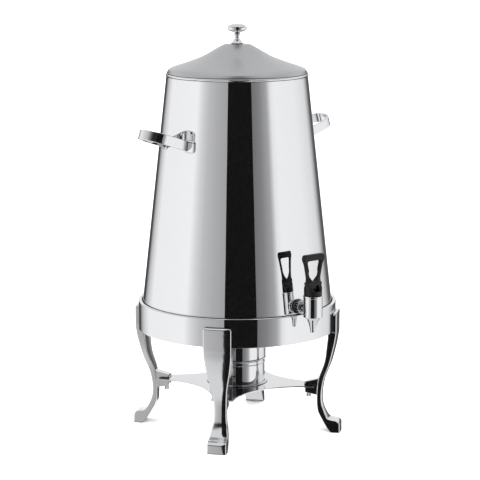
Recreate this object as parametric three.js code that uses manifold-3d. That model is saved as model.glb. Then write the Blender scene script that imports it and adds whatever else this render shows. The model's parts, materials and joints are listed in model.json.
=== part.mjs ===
// Heated beverage urn on a four-legged stand, with a lift-off lid, a self-closing faucet and a fuel burner.
// Millimetres, +Z up, floor at z = 0, urn axis on Z, faucet towards -Y, carrying handles along X.
import * as THREE from 'three';
import { mergeVertices } from 'three/addons/utils/BufferGeometryUtils.js';
import Module from 'manifold-3d';

const wasm = await Module();
wasm.setup();

// ---- driving sizes ---------------------------------------------------------------------------------
const gap = 0.3; // assembly clearance between neighbouring pieces
const runGap = 0.06; // radial clearance of a shaft that turns or slides in a hole
const sheet = 1.2; // sheet thickness of the urn and its lid

const ringR = 160; // support ring, outside radius
const ringZ = 167.4; // underside of the support ring
const ringH = 45.6; // height of the support ring
const ringSheet = 1.6;
const seatDrop = 6; // how deep the urn sits inside the top of the ring
const standTurn = -5; // degrees the stand is turned against the urn

const urnInset = 7.3; // how far the urn's wall stands inside the ring's outside
const urnTaper = 0.1107; // loss of radius per unit of height
const urnH = 360.4; // height of the wall above the ring
const rimBead = 2; // radius of the rolled rim

const legHalf = 22.3; // half width of a leg at the ring
const ankleHalf = 9.9; // half width at the narrowest part
const footHalf = 15.3; // half width of the foot
const legRise = 31.5; // how far a leg reaches up the ring
const legPlate = 6.6; // thickness of the leg over the ring
const toeOut = 11.6; // how far the toe reaches beyond the ring
const footH = 20;

const shelfZ = 74; // underside of the fuel shelf
const shelfT = 2;
const shelfWaist = 71.5; // from the axis to the middle of a concave edge
const shelfArcR = 112.5; // radius of a concave edge

const boltR = 2.5;
const screwR = 2;

const burnerR = 45; // outside radius of the fuel holder
const burnerH = 42;
const coverH = 29;

const lidRise = 41.4; // lid rim to the flat top of the lid
const knobR = 15.5;
const knobH = 31.6; // height of the knob

const handleHalf = 30; // half width of a carrying handle
const handleOut = 65; // how far it stands out from the wall
const handleTilt = 18; // degrees the loop rises away from the wall
const handleBand = 16; // width of the flat band
const handleT = 3;
const handleDrop = 101; // rim to the band's centre at the wall

const faucetOut = 34.1; // wall to the axis of the faucet barrel
const shankR = 8; // horizontal shank that goes through the wall
const barrelR = 15.3;
const barrelH = 33; // straight part of the barrel
const nozzleH = 25.1;
const bonnetR = 14.1;
const domeR = 8.6; // round top of the bonnet about the pin
const stemR = 2.5;
const boreR = 9;
const leverH = 55.3; // pin to the top of the lever
const leverT = 4.6;
const leverSlot = 5.6; // half width of the lever's tang

// ---- helpers ---------------------------------------------------------------------------------------
const rad = (deg) => (deg * Math.PI) / 180;
const turnedUp = (geometry) => geometry.rotateX(Math.PI / 2);
const ringTop = ringZ + ringH;
const urnAt = (z) => ringR - urnInset - urnTaper * (z - ringTop);

// closed triangle mesh of one geometry, facing outward
function solid(geometry) {
  const bare = new THREE.BufferGeometry();
  bare.setAttribute('position', geometry.getAttribute('position'));
  if (geometry.index) bare.setIndex(geometry.index);
  const merged = mergeVertices(bare, 1e-4);
  const position = merged.getAttribute('position').array;
  const triangles = [];
  let volume = 0;
  for (let i = 0; i < merged.index.count; i += 3) {
    const [a, b, c] = [0, 1, 2].map((k) => merged.index.array[i + k]);
    if (a === b || b === c || a === c) continue;
    const [p, q, r] = [a, b, c].map((k) => new THREE.Vector3().fromArray(position, 3 * k));
    volume += p.dot(q.cross(r));
    triangles.push([a, b, c]);
  }
  const order = volume < 0 ? ([a, b, c]) => [a, c, b] : (t) => t;
  const triVerts = new Uint32Array(triangles.flatMap(order));
  return new wasm.Manifold(new wasm.Mesh({ numProp: 3, vertProperties: new Float32Array(position), triVerts }));
}

// solid of revolution about Z; the profile is a list of [radius, height]
const latheShape = (points, segments = 64) =>
  turnedUp(new THREE.LatheGeometry(points.map(([r, z]) => new THREE.Vector2(r, z)), segments));
const lathe = (points, segments) => solid(latheShape(points, segments));
const ringLathe = (points, segments) => lathe([...points, points[0]], segments);

const shapeOf = (points) => new THREE.Shape(points.map(([x, y]) => new THREE.Vector2(x, y)));
const extrusion = (shape, from, to, curveSegments = 12) =>
  new THREE.ExtrudeGeometry(shape, { depth: to - from, bevelEnabled: false, curveSegments }).translate(0, 0, from);

// flat outline drawn in X and Z, thick along Y
const slabY = (shape, from, to, curveSegments) => turnedUp(extrusion(shape, -to, -from, curveSegments));
// flat outline drawn in Y and Z, thick along X
const slabX = (shape, from, to, curveSegments) => slabY(shape, -to, -from, curveSegments).rotateZ(Math.PI / 2);

const box = (x0, x1, y0, y1, z0, z1) =>
  new THREE.BoxGeometry(x1 - x0, y1 - y0, z1 - z0).translate((x0 + x1) / 2, (y0 + y1) / 2, (z0 + z1) / 2);
const rodZ = (r, z0, z1, segments = 16) =>
  turnedUp(new THREE.CylinderGeometry(r, r, z1 - z0, segments)).translate(0, 0, (z0 + z1) / 2);
const rodY = (r, y0, y1, segments = 16) =>
  new THREE.CylinderGeometry(r, r, y1 - y0, segments).translate(0, (y0 + y1) / 2, 0);
const rodX = (r, x0, x1, segments = 16) =>
  new THREE.CylinderGeometry(r, r, x1 - x0, segments).rotateZ(Math.PI / 2).translate((x0 + x1) / 2, 0, 0);

// rectangle with rounded corners, centred on x = cx
function roundedRect(cx, z0, halfWidth, height, radius) {
  const shape = new THREE.Shape();
  const [l, r, t] = [cx - halfWidth, cx + halfWidth, z0 + height];
  shape.moveTo(l + radius, z0);
  shape.lineTo(r - radius, z0);
  shape.absarc(r - radius, z0 + radius, radius, -Math.PI / 2, 0);
  shape.lineTo(r, t - radius);
  shape.absarc(r - radius, t - radius, radius, 0, Math.PI / 2);
  shape.lineTo(l + radius, t);
  shape.absarc(l + radius, t - radius, radius, Math.PI / 2, Math.PI);
  shape.lineTo(l, z0 + radius);
  shape.absarc(l + radius, z0 + radius, radius, Math.PI, 1.5 * Math.PI);
  return shape;
}

// smooth curve through a few control points
const smooth = (points, count) =>
  new THREE.SplineCurve(points.map(([x, y]) => new THREE.Vector2(x, y))).getPoints(count).map((p) => [p.x, p.y]);

const legAngles = { front_right: -45, back_right: 45, back_left: 135, front_left: 225 };
const atLeg = (geometry, name) => geometry.rotateZ(rad(legAngles[name] + standTurn));

// ---- materials -------------------------------------------------------------------------------------
const steel = (roughness) => new THREE.MeshStandardMaterial({ color: 0xd4d6d8, roughness, metalness: 1 });
const finishes = {
  polished: steel(0.08),
  satin: steel(0.32),
  cast: steel(0.14),
  wire: steel(0.25),
  black: new THREE.MeshStandardMaterial({ color: 0x161617, roughness: 0.42, metalness: 0 }),
  silicone: new THREE.MeshStandardMaterial({ color: 0xe6e4df, roughness: 0.6, metalness: 0 }),
  rubber: new THREE.MeshStandardMaterial({ color: 0x1c1c1d, roughness: 0.7, metalness: 0 }),
};

const part = new THREE.Group();
part.name = 'beverage_urn';

function add(name, body, finish, turn = 0) {
  const mesh = body.getMesh();
  const geometry = new THREE.BufferGeometry();
  geometry.setAttribute('position', new THREE.BufferAttribute(new Float32Array(mesh.vertProperties), 3));
  geometry.setIndex(new THREE.BufferAttribute(new Uint32Array(mesh.triVerts), 1));
  geometry.rotateZ(rad(turn));
  const node = new THREE.Mesh(geometry, finishes[finish]);
  node.name = name;
  part.add(node);
}

// ---- stand -----------------------------------------------------------------------------------------
const ringIn = ringR - ringSheet;
const recessR = urnAt(ringTop - seatDrop) + 3 * gap;
const seatTop = ringTop - seatDrop;
const boltZ = ringZ + 16;

// hoop with a turned-in top edge that drops to a seat for the urn
let hoop = ringLathe([
  [ringIn, ringZ], [ringR, ringZ], [ringR, ringTop - 1], [ringR - 1, ringTop], [recessR, ringTop],
  [recessR, seatTop], [recessR - 16, seatTop], [recessR - 16, seatTop - ringSheet],
  [recessR + ringSheet, seatTop - ringSheet], [recessR + ringSheet, ringTop - ringSheet],
  [ringIn, ringTop - ringSheet],
]);
for (const name of Object.keys(legAngles)) {
  const hole = rodX(boltR + gap, ringIn - 4, ringR + 4).translate(0, 0, boltZ);
  hoop = hoop.subtract(solid(atLeg(hole, name)));
}
add('support_ring', hoop, 'polished');

// S-shaped leg: one profile turned about the urn axis, then cut to the leg's front outline
const legIn = ringR - 7.5;
const legOut = ringR + legPlate;
const ankleIn = ringR - 27.4;
const legTop = ringZ + legRise;
const outerCurve = smooth([
  [legOut, ringZ * 0.98], [legOut - 3.2, ringZ * 0.86], [ringR - 3.9, ringZ * 0.69], [ringR - 15, ringZ * 0.51],
  [ankleIn + 8.8, ringZ * 0.36], [ankleIn + 10.6, ringZ * 0.25], [ringR - 8.5, footH + 2.5],
], 12);
const innerCurve = smooth([
  [ringR - 3.6, 0], [ringR - 9.6, footH * 0.36], [ringR - 17.8, footH * 1.05], [ankleIn + 1.6, ringZ * 0.22],
  [ankleIn, ringZ * 0.36], [ankleIn + 3.2, ringZ * 0.53], [ringR - 13.4, ringZ * 0.71], [legIn, ringZ * 0.94],
], 12);
const toe = ringR + toeOut;
const legProfile = [
  ...innerCurve, [legIn, ringZ - gap], [ringR + gap, ringZ - gap], [ringR + gap, legTop - 1],
  [ringR + gap + 1, legTop], [legOut - 2.5, legTop], [legOut, legTop - 4], ...outerCurve,
  [toe - 4.5, footH], [toe - 0.6, footH - 4.5], [toe, footH - 8], [toe, 0],
];
const sideOutline = smooth([
  [footHalf, 0], [footHalf - 0.8, footH], [ankleHalf + 0.6, ringZ * 0.26], [ankleHalf, ringZ * 0.37],
  [ankleHalf + 2, ringZ * 0.55], [legHalf - 3.7, ringZ * 0.76], [legHalf - 0.6, ringZ * 0.9], [legHalf, ringZ],
], 12);
const rightOutline = [...sideOutline, [legHalf, legTop - 3], [legHalf - 3, legTop + 1]];
const leftOutline = rightOutline.map(([x, z]) => [-x, z]).reverse();
const legFront = slabX(shapeOf([...rightOutline, ...leftOutline]), ringR - 60, ringR + 40);

// lug that holds one arm of the fuel shelf
const lugTip = ringR - 48;
const lugHalf = ankleHalf - 1;
const lugOutline = shapeOf([
  [lugTip, shelfZ - 9.6], [lugTip + 1, shelfZ - 10.4], [lugTip + 8, shelfZ - 11.6], [ankleIn + 2, shelfZ - 15],
  [ankleIn + 2, shelfZ + 10.6], [lugTip + 1.5, shelfZ + 5], [lugTip, shelfZ + 3.8],
]);
const slotEnd = ankleIn - 3;
const screwAt = lugTip + 6;

for (const name of Object.keys(legAngles)) {
  const leg = lathe([...legProfile, legProfile[0]], 90)
    .intersect(solid(legFront.clone()))
    .add(solid(slabY(lugOutline, -lugHalf, lugHalf)))
    .subtract(solid(box(lugTip - 5, slotEnd, -30, 30, shelfZ - gap, shelfZ + shelfT + gap)))
    .subtract(solid(rodZ(screwR + runGap, shelfZ - 20, shelfZ).translate(screwAt, 0, 0)))
    .subtract(solid(rodX(boltR + gap, ringR - 5, legOut - 1.4).translate(0, 0, boltZ)));
  const turn = legAngles[name] + standTurn;
  add(`leg_${name}`, leg, 'cast', turn);

  const bolt = solid(rodX(boltR, ringIn - 2, legOut - 1.8).translate(0, 0, boltZ)).add(
    solid(rodX(2 * boltR, ringIn - 3.5, ringIn - 0.5).translate(0, 0, boltZ)));
  add(`leg_bolt_${name}`, bolt, 'wire', turn);

  const headTop = shelfZ - 12.4;
  const screw = solid(rodZ(screwR, headTop - 2, shelfZ - gap).translate(screwAt, 0, 0)).add(
    solid(rodZ(2 * screwR, headTop - 6.4, headTop, 16).translate(screwAt, 0, 0)));
  add(`shelf_thumbscrew_${name}`, screw, 'cast', turn);
}

// four-armed shelf with concave edges
const shelf = new THREE.Shape();
const armEnd = slotEnd - gap;
const shelfArcC = shelfWaist + shelfArcR;
const arcSpan = Math.acos((shelfArcC - armEnd * Math.SQRT1_2 - 12) / shelfArcR);
for (let k = 0; k < 4; k += 1) {
  const middle = k * 90;
  const [cx, cy] = [shelfArcC * Math.cos(rad(middle)), shelfArcC * Math.sin(rad(middle))];
  shelf.absarc(cx, cy, shelfArcR, rad(middle + 180) + arcSpan, rad(middle + 180) - arcSpan, true);
}
shelf.closePath();
const armClip = rodZ(armEnd, shelfZ - 5, shelfZ + 10, 96);
const shelfPlate = solid(extrusion(shelf, shelfZ, shelfZ + shelfT, 20)).intersect(solid(armClip));
add('fuel_shelf', shelfPlate, 'polished', standTurn);

// ---- burner ----------------------------------------------------------------------------------------
const burnerZ = shelfZ + shelfT + gap;
const burnerTop = burnerZ + burnerH;
const burnerIn = burnerR - sheet;
add('burner_holder', lathe([
  [0, burnerZ], [burnerR + 3.8, burnerZ], [burnerR + 3.8, burnerZ + sheet], [burnerR, burnerZ + sheet + 0.4],
  [burnerR, burnerTop - 3.6], [burnerR + 1.4, burnerTop - 3.1], [burnerR + 2.1, burnerTop - 1.8],
  [burnerR + 1.4, burnerTop - 0.5], [burnerR, burnerTop], [burnerIn, burnerTop], [burnerIn, burnerZ + sheet],
  [0, burnerZ + sheet],
], 40), 'polished');

const coverR = burnerR + 1.6;
const coverZ = burnerTop + gap;
const coverTop = coverZ + coverH;
const spigotR = burnerIn - gap;
add('burner_cover', ringLathe([
  [spigotR - sheet, coverZ - 5], [spigotR, coverZ - 5], [spigotR, coverZ], [coverR, coverZ],
  [coverR, coverTop - 3], [coverR - 0.9, coverTop - 0.9], [coverR - 3, coverTop], [burnerR / 2, coverTop],
  [burnerR / 2, coverTop - sheet], [coverR - 3.3, coverTop - sheet], [coverR - sheet, coverTop - 3.3],
  [coverR - sheet, coverZ + sheet], [spigotR - sheet, coverZ + sheet],
], 40), 'polished');

// ---- urn -------------------------------------------------------------------------------------------
const urnZ = seatTop + gap;
const rimZ = ringTop + urnH;
const rimR = urnAt(rimZ);
const rimTop = rimZ + 2 * rimBead;
const shankZ = ringTop + shankR + 4;
let wall = ringLathe([
  [urnAt(urnZ) - sheet, urnZ], [urnAt(urnZ), urnZ], [rimR, rimZ], [rimR + 0.9, rimZ + 0.7],
  [rimR + 1.2, rimZ + rimBead], [rimR + 0.6, rimTop - 0.5], [rimR - 0.6, rimTop], [rimR - sheet, rimTop - 0.3],
  [rimR - sheet - 0.3, rimZ],
]);
wall = wall.subtract(solid(rodY(shankR + gap, -ringR - 20, -ringR + 40, 32).translate(0, 0, shankZ)));
add('urn_body', wall, 'polished');

// dished bottom, seamed inside the wall
const [lipZ, dishZ] = [urnZ + 3.8, urnZ + 2];
const bottomR = urnAt(lipZ) - sheet - gap;
add('urn_bottom', lathe([
  [0, dishZ], [bottomR - 14, dishZ], [bottomR - 11, urnZ + 0.4], [bottomR, urnZ + 0.4], [bottomR, lipZ],
  [bottomR - sheet, lipZ], [bottomR - sheet, urnZ + 0.4 + sheet], [bottomR - 11.4, urnZ + 0.4 + sheet],
  [bottomR - 14.4, dishZ + sheet], [0, dishZ + sheet],
], 48), 'satin');

// carrying handle: a flat band bent to a loop, its ends turned flat against the wall
const handleZ = rimZ - handleDrop;
const wallX = Math.sqrt(urnAt(handleZ) ** 2 - handleHalf ** 2);
const loopReach = handleOut / Math.cos(rad(handleTilt));
function loopOutline(half, reach) {
  const shape = new THREE.Shape();
  shape.moveTo(-14, -half);
  shape.lineTo(reach - half * 0.95, -half);
  shape.bezierCurveTo(reach - half * 0.35, -half * 0.98, reach, -half * 0.55, reach, 0);
  shape.bezierCurveTo(reach, half * 0.55, reach - half * 0.35, half * 0.98, reach - half * 0.95, half);
  shape.lineTo(-14, half);
  return shape;
}
// cone-shaped skin lying on the outside of the urn wall, from `lift` to `lift + depth`
const skin = (lift, depth, z0, z1) => ringLathe([
  [urnAt(z0) + lift, z0], [urnAt(z0) + lift + depth, z0], [urnAt(z1) + lift + depth, z1], [urnAt(z1) + lift, z1],
], 60);
const band = (half, reach, from, to) =>
  extrusion(loopOutline(half, reach), from, to, 6).rotateY(-rad(handleTilt)).translate(wallX, 0, handleZ);
const urnPlug = lathe([[0, handleZ - 60], [urnAt(handleZ - 60) + gap, handleZ - 60],
  [urnAt(handleZ + 60) + gap, handleZ + 60], [0, handleZ + 60]], 60);
const footPad = slabX(roundedRect(0, handleZ - 10, 11, 19, 4), wallX - 20, wallX + 40, 3)
  .rotateZ(Math.atan2(handleHalf + 2, wallX));
const strap = solid(band(handleHalf, loopReach, -handleBand / 2, handleBand / 2))
  .subtract(solid(band(handleHalf - handleT, loopReach - handleT, -handleBand, handleBand)))
  .add(skin(gap, 2.2, handleZ - 30, handleZ + 30).intersect(solid(footPad.clone())))
  .add(skin(gap, 2.2, handleZ - 30, handleZ + 30)
    .intersect(solid(footPad.clone().rotateZ(-2 * Math.atan2(handleHalf + 2, wallX)))))
  .subtract(urnPlug);
add('handle_right', strap, 'polished');
add('handle_left', strap, 'polished', 180);

// ---- faucet ----------------------------------------------------------------------------------------
const wallY = -urnAt(shankZ);
const faucetY = wallY - faucetOut;
const barrelZ = shankZ - 10.5;
const barrelTop = barrelZ + barrelH;
const nozzleZ = barrelZ - nozzleH;
const pivotZ = barrelTop + 9.5;
const atFaucet = (geometry) => geometry.translate(0, faucetY, 0);
const atShank = (geometry) => geometry.translate(0, 0, shankZ);
const seatZ = barrelZ + 4;
const washerT = 2.2;
const washerR = shankR + 3;
const collarT = 7;
const innerWall = wallY + sheet;

const barrel = solid(atFaucet(latheShape([
  [0, nozzleZ], [3.4, nozzleZ], [3.8, nozzleZ + 3], [6.4, nozzleZ + 13], [11.2, barrelZ - 2.6],
  [barrelR - 0.8, barrelZ], [barrelR, barrelZ + 1.2], [barrelR, barrelTop - 0.6], [barrelR - 0.6, barrelTop],
  [0, barrelTop],
], 28)));
add('faucet_body', barrel
  .add(solid(atShank(rodY(shankR, faucetY, innerWall + 17, 32))))
  .subtract(solid(atFaucet(rodZ(boreR, seatZ, barrelTop + 5, 32))))
  .subtract(solid(atFaucet(rodZ(2.6, nozzleZ - 5, seatZ + 1))))
  .subtract(solid(atShank(rodY(5, faucetY, innerWall + 30)))), 'polished');

// ribbed clamping collar between the barrel and the urn wall
const ribs = new THREE.Shape();
const ribCount = 18;
for (let k = 0; k < 4 * ribCount; k += 1) {
  const r = washerR - (k % 4 < 2 ? 0 : 0.8);
  const angle = (2 * Math.PI * k) / (4 * ribCount);
  ribs[k ? 'lineTo' : 'moveTo'](r * Math.cos(angle), r * Math.sin(angle));
}
const collarY = wallY - washerT - 1.4 - gap;
add('faucet_collar', solid(atShank(slabY(ribs, collarY - collarT, collarY)))
  .subtract(solid(atShank(rodY(shankR + runGap, collarY - 20, collarY + 5, 32)))), 'polished');

const outsideWall = lathe([[0, shankZ - 40], [urnAt(shankZ - 40) + gap, shankZ - 40],
  [urnAt(shankZ + 40) + gap, shankZ + 40], [0, shankZ + 40]], 96);
const insideWall = lathe([[0, shankZ - 40], [urnAt(shankZ - 40) - sheet - gap, shankZ - 40],
  [urnAt(shankZ + 40) - sheet - gap, shankZ + 40], [0, shankZ + 40]], 96);
const shankHole = () => solid(atShank(rodY(shankR + gap, wallY - 30, wallY + 60, 32)));
add('faucet_outer_washer', solid(atShank(rodY(washerR, collarY + gap, wallY + 4, 32)))
  .subtract(outsideWall).subtract(shankHole()), 'rubber');
const innerFace = innerWall + washerT + 2;
add('faucet_inner_washer', solid(atShank(rodY(washerR, innerWall - 2, innerFace, 32)))
  .intersect(insideWall).subtract(shankHole()), 'silicone');
add('faucet_lock_nut', solid(atShank(rodY(shankR + 5, innerFace + gap, innerFace + gap + 7, 6)))
  .subtract(shankHole()), 'wire');

// bonnet: moulded cap with a round top about the lever's pin and a slot for the lever's tang
const bonnetZ = barrelTop + gap;
const bonnetRound = solid(atFaucet(latheShape([
  [0, bonnetZ], [bonnetR - 2, bonnetZ], [bonnetR - 0.6, bonnetZ + 0.8], [bonnetR, bonnetZ + 2.4],
  [bonnetR, pivotZ + domeR + 2], [0, pivotZ + domeR + 2],
], 28)));
const domeSpace = solid(box(-20, 20, faucetY - 20, faucetY + 20, bonnetZ - 5, pivotZ)).add(
  solid(rodX(domeR, -20, 20, 48).translate(0, faucetY, pivotZ)));
const tangReach = 4;
const slotSweep = shapeOf([
  [faucetY + tangReach + gap, pivotZ - tangReach - 1], [faucetY + tangReach + gap, pivotZ + 20],
  [faucetY - 20, pivotZ + 20], [faucetY - 20, pivotZ + 1], [faucetY - tangReach - 1, pivotZ - tangReach - 1],
]);
add('faucet_bonnet', bonnetRound.intersect(domeSpace)
  .add(solid(atFaucet(rodZ(boreR - gap, barrelTop - 4, bonnetZ + 0.5, 32))))
  .subtract(solid(slabX(slotSweep, -leverSlot - gap, leverSlot + gap)))
  .subtract(solid(atFaucet(rodZ(stemR + runGap, barrelTop - 10, pivotZ))))
  .subtract(solid(rodX(screwR + gap, -20, 20).translate(0, faucetY, pivotZ))), 'black');

add('lever_pin', solid(rodX(screwR, -12.4, 12.4).translate(0, faucetY, pivotZ)), 'wire');

// lever: finger loop on a waist that rides round the bonnet, with a tang down to the pin
const waistZ = pivotZ + domeR;
const leverTop = pivotZ + leverH;
const gripZ = leverTop - 10;
const loopHalf = 19.2;
const leverOutline = new THREE.Shape();
leverOutline.moveTo(-13.2, pivotZ + 4);
leverOutline.lineTo(13.2, pivotZ + 4);
leverOutline.lineTo(13.2, waistZ + 6);
leverOutline.quadraticCurveTo(15.6, waistZ + 18, loopHalf, gripZ + 2);
leverOutline.lineTo(-loopHalf, gripZ + 2);
leverOutline.quadraticCurveTo(-15.6, waistZ + 18, -13.2, waistZ + 6);
const eye = new THREE.Path();
eye.moveTo(0, waistZ + 3.6);
eye.bezierCurveTo(9, waistZ + 4.2, 12, waistZ + 14, 13.5, gripZ - 4);
eye.quadraticCurveTo(13.5, gripZ, 9.5, gripZ);
eye.lineTo(-9.5, gripZ);
eye.quadraticCurveTo(-13.5, gripZ, -13.5, gripZ - 4);
eye.bezierCurveTo(-12, waistZ + 14, -9, waistZ + 4.2, 0, waistZ + 3.6);
leverOutline.holes.push(eye);
const loopPlate = solid(atFaucet(slabY(leverOutline, -leverT / 2, leverT / 2, 8)));
const grip = solid(atFaucet(slabY(roundedRect(0, gripZ, loopHalf + 0.9, leverTop - gripZ, 4), -4, 4, 4)));
const waist = solid(atFaucet(box(-13.2, 13.2, -5.4, 5.4, pivotZ + 4, waistZ + 3.4)));
const tang = solid(atFaucet(box(-leverSlot, leverSlot, -tangReach, tangReach, pivotZ, waistZ + 3)))
  .add(solid(rodX(tangReach, -leverSlot, leverSlot).translate(0, faucetY, pivotZ)));
add('faucet_lever', loopPlate.add(grip).add(waist)
  .subtract(solid(rodX(domeR + gap, -30, 30, 48).translate(0, faucetY, pivotZ)))
  .add(tang)
  .subtract(solid(rodX(screwR + runGap, -20, 20).translate(0, faucetY, pivotZ))), 'black');

// stem, silicone seat cup and closing spring inside the barrel
const cupTop = seatZ + gap + 7.6;
add('seat_cup', solid(atFaucet(latheShape([
  [0, seatZ + gap], [4.6, seatZ + gap], [6.6, seatZ + 2.4], [6.6, cupTop - 1], [5.8, cupTop], [0, cupTop],
], 24))).subtract(solid(atFaucet(rodZ(stemR + 0.02, seatZ + 3, cupTop + 5)))), 'silicone');
const stemTop = pivotZ - tangReach - 5.2;
add('faucet_stem', solid(atFaucet(rodZ(stemR, seatZ + 3.3, stemTop))), 'wire');

const springTurns = 4;
const springZ0 = cupTop + 0.8;
const springZ1 = barrelTop - 4 - 6;
class Helix extends THREE.Curve {
  getPoint(t, target = new THREE.Vector3()) {
    const angle = 2 * Math.PI * springTurns * t;
    return target.set(5 * Math.cos(angle), 5 * Math.sin(angle), springZ0 + (springZ1 - springZ0) * t);
  }
}
const wireSection = shapeOf([0, 1, 2, 3, 4, 5].map((k) => [0.5 * Math.cos(rad(60 * k)), 0.5 * Math.sin(rad(60 * k))]));
const coil = new THREE.ExtrudeGeometry(wireSection, {
  steps: springTurns * 10, bevelEnabled: false, extrudePath: new Helix(),
});
add('faucet_spring', solid(atFaucet(coil)), 'wire');

// ---- lid -------------------------------------------------------------------------------------------
const lidZ = rimTop + gap;
const lidR = rimR - 1.1;
const lidTop = lidZ + 4.3 + lidRise;
const holeR = screwR + gap;
const lidOgee = smooth([
  [lidR - 0.3, lidZ + 2.2], [lidR * 0.972, lidZ + 5.2], [lidR * 0.93, lidZ + 7.2], [lidR * 0.86, lidZ + 9.8],
  [lidR * 0.71, lidZ + 15.6], [lidR * 0.49, lidZ + 26.2], [lidR * 0.29, lidTop - 6.4], [lidR * 0.19, lidTop - 0.4],
], 9);
const lidUnder = lidOgee.map(([r, z], i) => [r - (i ? 0.4 : sheet), z - sheet]).reverse();
add('lid_shell', ringLathe([
  [lidR - sheet, lidZ], [lidR, lidZ], [lidR + 0.2, lidZ + 1], ...lidOgee, [holeR, lidTop],
  [holeR, lidTop - sheet], ...lidUnder,
], 44), 'satin');

// plug ring that centres the lid in the mouth of the urn
const plugR = rimR - sheet - 1.6;
add('lid_plug_ring', ringLathe([
  [plugR - sheet, lidZ - 8], [plugR, lidZ - 8], [plugR, lidZ + 0.1], [plugR - sheet, lidZ + 0.1],
], 48), 'satin');

const knobZ = lidTop + gap;
const knobTop = knobZ + knobH;
add('lid_knob', lathe([
  [0, knobZ], [9.2, knobZ], [9.3, knobZ + 1.2], [7.4, knobZ + 4], [4.8, knobZ + 7.6], [3.7, knobZ + 10.4],
  [3.8, knobZ + 13], [5, knobZ + 14.2], [5, knobZ + 15.8], [4.2, knobZ + 17], [9, knobTop - 13],
  [knobR - 1.3, knobTop - 10.6], [knobR, knobTop - 6.6], [knobR - 2, knobTop - 2.7], [8.4, knobTop - 0.5],
  [0, knobTop],
], 28).subtract(solid(rodZ(screwR + gap, knobZ - 5, knobZ + 12))), 'polished');
add('knob_screw', solid(rodZ(screwR, lidTop - sheet - 2, knobZ + 11.5)).add(
  solid(rodZ(5, lidTop - sheet - gap - 2.6, lidTop - sheet - gap))), 'wire');

export default part;
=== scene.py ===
# %% [markdown]
# # A hot drink urn in polished steel
# The object is a tapered steel urn that rests in a hoop on four cast legs. It has a satin lid with a turned
# knob, two carrying handles, a self-closing faucet, and a fuel burner on a shelf underneath. The frame that
# we load holds every part at its true size. Our work is the surface: fine meshes where the frame's facets
# are coarse, and metals that look like metal. Each cell makes one piece or one finish.

# %% Load the frame
import json
import math

import bmesh
import bpy
import numpy as np
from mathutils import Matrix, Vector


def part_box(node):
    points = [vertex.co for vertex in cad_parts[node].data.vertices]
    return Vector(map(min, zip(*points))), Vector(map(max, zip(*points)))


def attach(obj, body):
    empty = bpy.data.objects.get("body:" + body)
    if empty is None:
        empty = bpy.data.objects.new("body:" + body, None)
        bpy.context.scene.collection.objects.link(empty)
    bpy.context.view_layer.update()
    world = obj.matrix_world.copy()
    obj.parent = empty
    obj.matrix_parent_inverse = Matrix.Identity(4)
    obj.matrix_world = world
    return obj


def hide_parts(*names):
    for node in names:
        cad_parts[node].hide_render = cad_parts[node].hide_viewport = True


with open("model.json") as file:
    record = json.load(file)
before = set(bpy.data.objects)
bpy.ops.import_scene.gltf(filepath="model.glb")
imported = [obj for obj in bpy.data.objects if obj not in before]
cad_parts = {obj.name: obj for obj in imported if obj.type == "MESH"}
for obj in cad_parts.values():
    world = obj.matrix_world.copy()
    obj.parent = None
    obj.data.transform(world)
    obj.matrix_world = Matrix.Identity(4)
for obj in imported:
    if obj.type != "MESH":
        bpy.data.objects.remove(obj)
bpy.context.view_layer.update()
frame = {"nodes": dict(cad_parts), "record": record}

# %% [markdown]
# ## Sizes that everything shares
# A new piece has to sit exactly where its frame part sits, so its sizes are read from the frame's boxes
# instead of being typed again. `half_x` gives a turned part's radius, and `low` and `high` its two ends.

# %% Read sizes from the frame
MM = 0.001
GAP = 0.3 * MM
SHEET = 1.2 * MM


def low(node, axis=2):
    """The lower end of a frame part's box, along Z unless told otherwise."""
    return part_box(node)[0][axis]


def high(node, axis=2):
    """The upper end of the same box."""
    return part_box(node)[1][axis]


def half_x(node):
    """Half of the box's width, which is the radius of a part that is turned about the Z axis."""
    return (high(node, 0) - low(node, 0)) / 2


ring_r, ring_z, ring_top = half_x("support_ring"), low("support_ring"), high("support_ring")
shelf_z, shelf_top = low("fuel_shelf"), high("fuel_shelf")
wall_z, rim_top = low("urn_body"), high("urn_body")
faucet_y = (low("faucet_stem", 1) + high("faucet_stem", 1)) / 2
pin_z = (low("lever_pin") + high("lever_pin")) / 2
shank_z = (low("faucet_collar") + high("faucet_collar")) / 2
print("ring radius", round(ring_r, 4), "faucet at y", round(faucet_y, 4), "pin at z", round(pin_z, 4))

# %% [markdown]
# The urn's wall is a cone: its radius falls by the same share of every step upwards. Two known circles fix
# it, the widest one at the bottom edge and the one under the rolled rim. Handles, washers and collar lean
# on this cone.

# %% The wall's cone
BEAD = 2 * MM
rim_z = rim_top - 2 * BEAD
wall_low_r = half_x("urn_body")
rim_r = half_x("lid_shell") + 0.9 * MM
taper = (wall_low_r - rim_r) / (rim_z - wall_z)


def wall_r(z):
    """The wall's outer radius: the bottom radius less the taper times the height above the bottom edge."""
    return wall_low_r - taper * (z - wall_z)


print("taper", round(taper, 4), "rim radius", round(rim_r, 4))

# %% [markdown]
# ## Tools for surfaces
# Almost every piece here is one of two things: a profile turned about an axis, or a section carried along a
# line. Both are grids of points, so one function turns a grid into a mesh. Points that fall together at a
# pole are merged, and if the signed volume comes out negative the faces are turned round, so that they
# always point outwards.

# %% Grids into meshes
def grid_faces(rows, columns, wrap_rows, wrap_columns):
    """Quads of a grid: each joins a point, the next in its row, and the same two in the next row."""
    r = np.arange(rows if wrap_rows else rows - 1)
    c = np.arange(columns if wrap_columns else columns - 1)
    r, c = np.meshgrid(r, c, indexing="ij")
    r2, c2 = (r + 1) % rows, (c + 1) % columns
    quads = np.stack([r * columns + c, r * columns + c2, r2 * columns + c2, r2 * columns + c], -1)
    return quads.reshape(-1, 4)


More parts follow.
